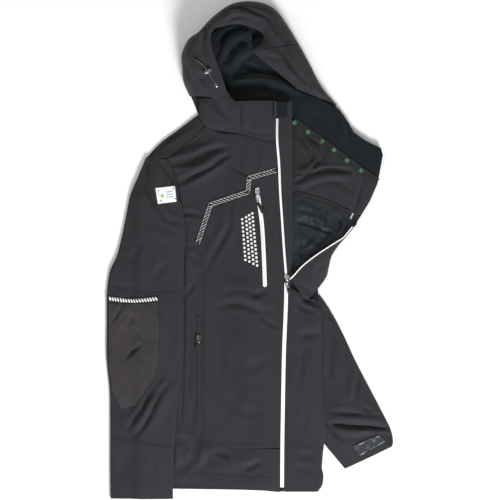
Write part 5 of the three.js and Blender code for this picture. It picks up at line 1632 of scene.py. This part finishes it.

# %% [markdown]
# ## Dressing
# Each piece now gets its finish, and the name of the material slot that it stands for in the record is
# printed with it. Only the three zip pulls move on their own.

# %% Dress the pieces
shell_pieces = [
    back, front_chest, front_main, front_side, front_hem_right, left_front_main, left_front_hem, facing,
    facing_edge, turned, wind_guard, collar_side, collar_front, sleeve_upper, sleeve_lower, cuff_right,
    sleeve_left, cuff_left, hood_right, hood_crown, hood_left, hood_base, pocket_welt, layers_under,
    turned_edge, seam_band, foot, front_corner,
]
zip_pieces = [
    zip_chain, tape_right, tape_left, chest_zip, sleeve_twist, coil_closed, coil_right, coil_chest, coil_left,
    coil_peek,
]
for slot_name, material, pieces in (
    ("softshell", softshell, shell_pieces), ("softshell", dark_thread, [dark_stitches]),
    ("fleece", fleece, [collar_inside, hood_inside, lip, zip_garage, hollow]),
    ("mesh", net_ground, [elbow_mesh]), ("mesh", dark_ground, [mesh_lining, shoulder_mesh]),
    ("mesh", net_thread, [elbow_net]), ("mesh", dark_net, [shoulder_net, lining_net]),
    ("lining", lining, [pocket_lining]), ("tape", tape_black, [neck_tape, inner_tape]),
    ("tape", green_woven, [green_marks]), ("reflective", reflective, zip_pieces),
    ("reflective", tape_black, [sleeve_tape]), ("reflective", pale_thread, [pale_stitches, ladder_stitches]),
    ("reflective", print_white, [chest_dots]), ("patch", patch_cloth, [sleeve_patch]),
    ("patch", blue_print, [patch_dots]), ("patch", pale_blue, [patch_bars]),
    ("patch", leaf_print, [patch_ring]), ("coated", coated, [cuff_tab]), ("metal", steel, sliders[:2]),
    ("metal", dark_steel, [eyelet, sliders[2], *loops]), ("plastic", grey_plastic, [cord_lock]),
    ("plastic", black_plastic, [zip_box, *tabs]), ("cord", cord_braid, [draw_cord, cord_knot]),
):
    for piece in pieces:
        piece.data.materials.clear()
        piece.data.materials.append(material)
    print(slot_name, [piece.name for piece in pieces])

# %% [markdown]
# ## Surface, light and the last checks
# A pale floor and three large soft lamps, as in a small studio.

# %% Floor and lights
bm = bmesh.new()
bmesh.ops.create_grid(bm, x_segments=1, y_segments=1, size=4)
floor = link("floor", mesh_from(bm, "floor"))
floor.location.z = -0.0005
floor.data.materials.append(new_material("pale_floor", (0.97, 0.97, 0.97), 0.7)[0])


def soft_lamp(name, place, size, power):
    """A lamp that looks at the middle of the jacket."""
    data = bpy.data.lights.new(name, "AREA")
    data.size = size
    data.energy = power
    lamp = bpy.data.objects.new(name, data)
    bpy.context.scene.collection.objects.link(lamp)
    lamp.location = place
    lamp.rotation_euler = (-Vector(place)).to_track_quat("-Z", "Y").to_euler()


soft_lamp("main_lamp", (1.2, -2.9, 2.0), 1.2, 188)
soft_lamp("fill_lamp", (-1.7, 0.3, 1.8), 1.6, 11)
soft_lamp("high_lamp", (0.6, 1.9, 1.6), 1.6, 2.5)
world = bpy.data.worlds.new("studio")
world.use_nodes = True
sky = world.node_tree.nodes["Background"].inputs
sky["Color"].default_value = (1, 1, 1, 1)
sky["Strength"].default_value = 0.38
bpy.context.scene.world = world
bpy.context.scene.view_settings.view_transform = "Standard"

# %% [markdown]
# ## Cloth sizes
# Each piece of cloth says what it was cut to before it was laid: the width and length of the smallest
# rectangle round it, and its flat area. A sleeve's cut goes all round. Narrow tapes are listed with their
# panel.

def cut_size(piece):
    """Width, length and area in metres of a piece's cut, from its own flat map."""
    uv = map_of(piece.data)
    area = sum(polygon.area for polygon in piece.data.polygons) / 2
    best = None
    for turn in np.radians(np.arange(0, 90, 3)):
        across = uv @ np.array([math.cos(turn), math.sin(turn)])
        along = uv @ np.array([-math.sin(turn), math.cos(turn)])
        size = (float(np.ptp(across)), float(np.ptp(along)))
        if best is None or size[0] * size[1] < best[0] * best[1]:
            best = size
    grow = max(1.0, area / (best[0] * best[1])) ** 0.5
    width, length = (round(size * grow + 0.0002, 4) for size in best)
    return width, length, round(area, 6)


over_folds = (back, layers_under)
for piece, held, rests_on, going_with in (
    (back, "laid", (), ()), (layers_under, "folded", (back,), ()),
    (front_chest, "laid", over_folds, (pale_stitches, ladder_stitches)),
    (front_main, "laid", over_folds, (chest_dots, chest_zip, coil_chest)),
    (front_side, "laid", over_folds, (pocket_welt,)), (front_hem_right, "laid", over_folds, ()),
    (left_front_main, "folded", (layers_under,), (zip_chain, tape_right, coil_closed, coil_right)),
    (left_front_hem, "folded", (layers_under,), ()),
    (collar_inside, "laid", (layers_under,), (neck_tape, green_marks)),
    (facing, "laid", (layers_under,), ()), (facing_edge, "laid", (layers_under,), ()),
    (lip, "laid", (layers_under,), ()), (mesh_lining, "laid", (layers_under,), (lining_net,)),
    (pocket_lining, "laid", (layers_under,), (inner_tape,)),
    (turned, "folded", (left_front_main,), (tape_left, turned_edge, coil_left, coil_peek)),
    (hollow, "laid", (left_front_main,), ()), (front_corner, "laid", (left_front_main,), ()),
    (wind_guard, "laid", (layers_under,), ()), (collar_side, "laid", (hood_right,), ()),
    (collar_front, "laid", (wind_guard,), (zip_garage,)), (shoulder_mesh, "laid", (back,), (shoulder_net,)),
    (sleeve_upper, "laid", (front_side,), (sleeve_patch, patch_dots, patch_bars, patch_ring)),
    (sleeve_lower, "laid", (front_side,), (sleeve_tape, sleeve_twist)),
    (elbow_mesh, "laid", (sleeve_lower,), (elbow_net,)), (cuff_right, "laid", (front_side,), ()),
    (sleeve_left, "laid", (front_side,), ()), (cuff_left, "laid", (back,), (cuff_tab,)),
    (hood_right, "gathered", (hood_base,), ()), (hood_crown, "gathered", (hood_base,), ()),
    (hood_left, "gathered", (hood_base,), ()), (foot, "folded", (hood_inside,), ()),
    (hood_inside, "laid", (hood_base,), ()), (hood_base, "laid", (), ()),
    (seam_band, "laid", (front_main,), ()),
):
    width, length, area = cut_size(piece)
    print(f"{piece.name}: {width:.3f} x {length:.3f} m, {area:.4f} m2")

# %% Last checks
for piece in cloth_pieces + small_pieces + [draw_cord]:
    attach(piece, "garment")
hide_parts("drawcord")
left_showing = [name for name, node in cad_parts.items() if not node.hide_render]
print("packed nodes that still show:", left_showing)
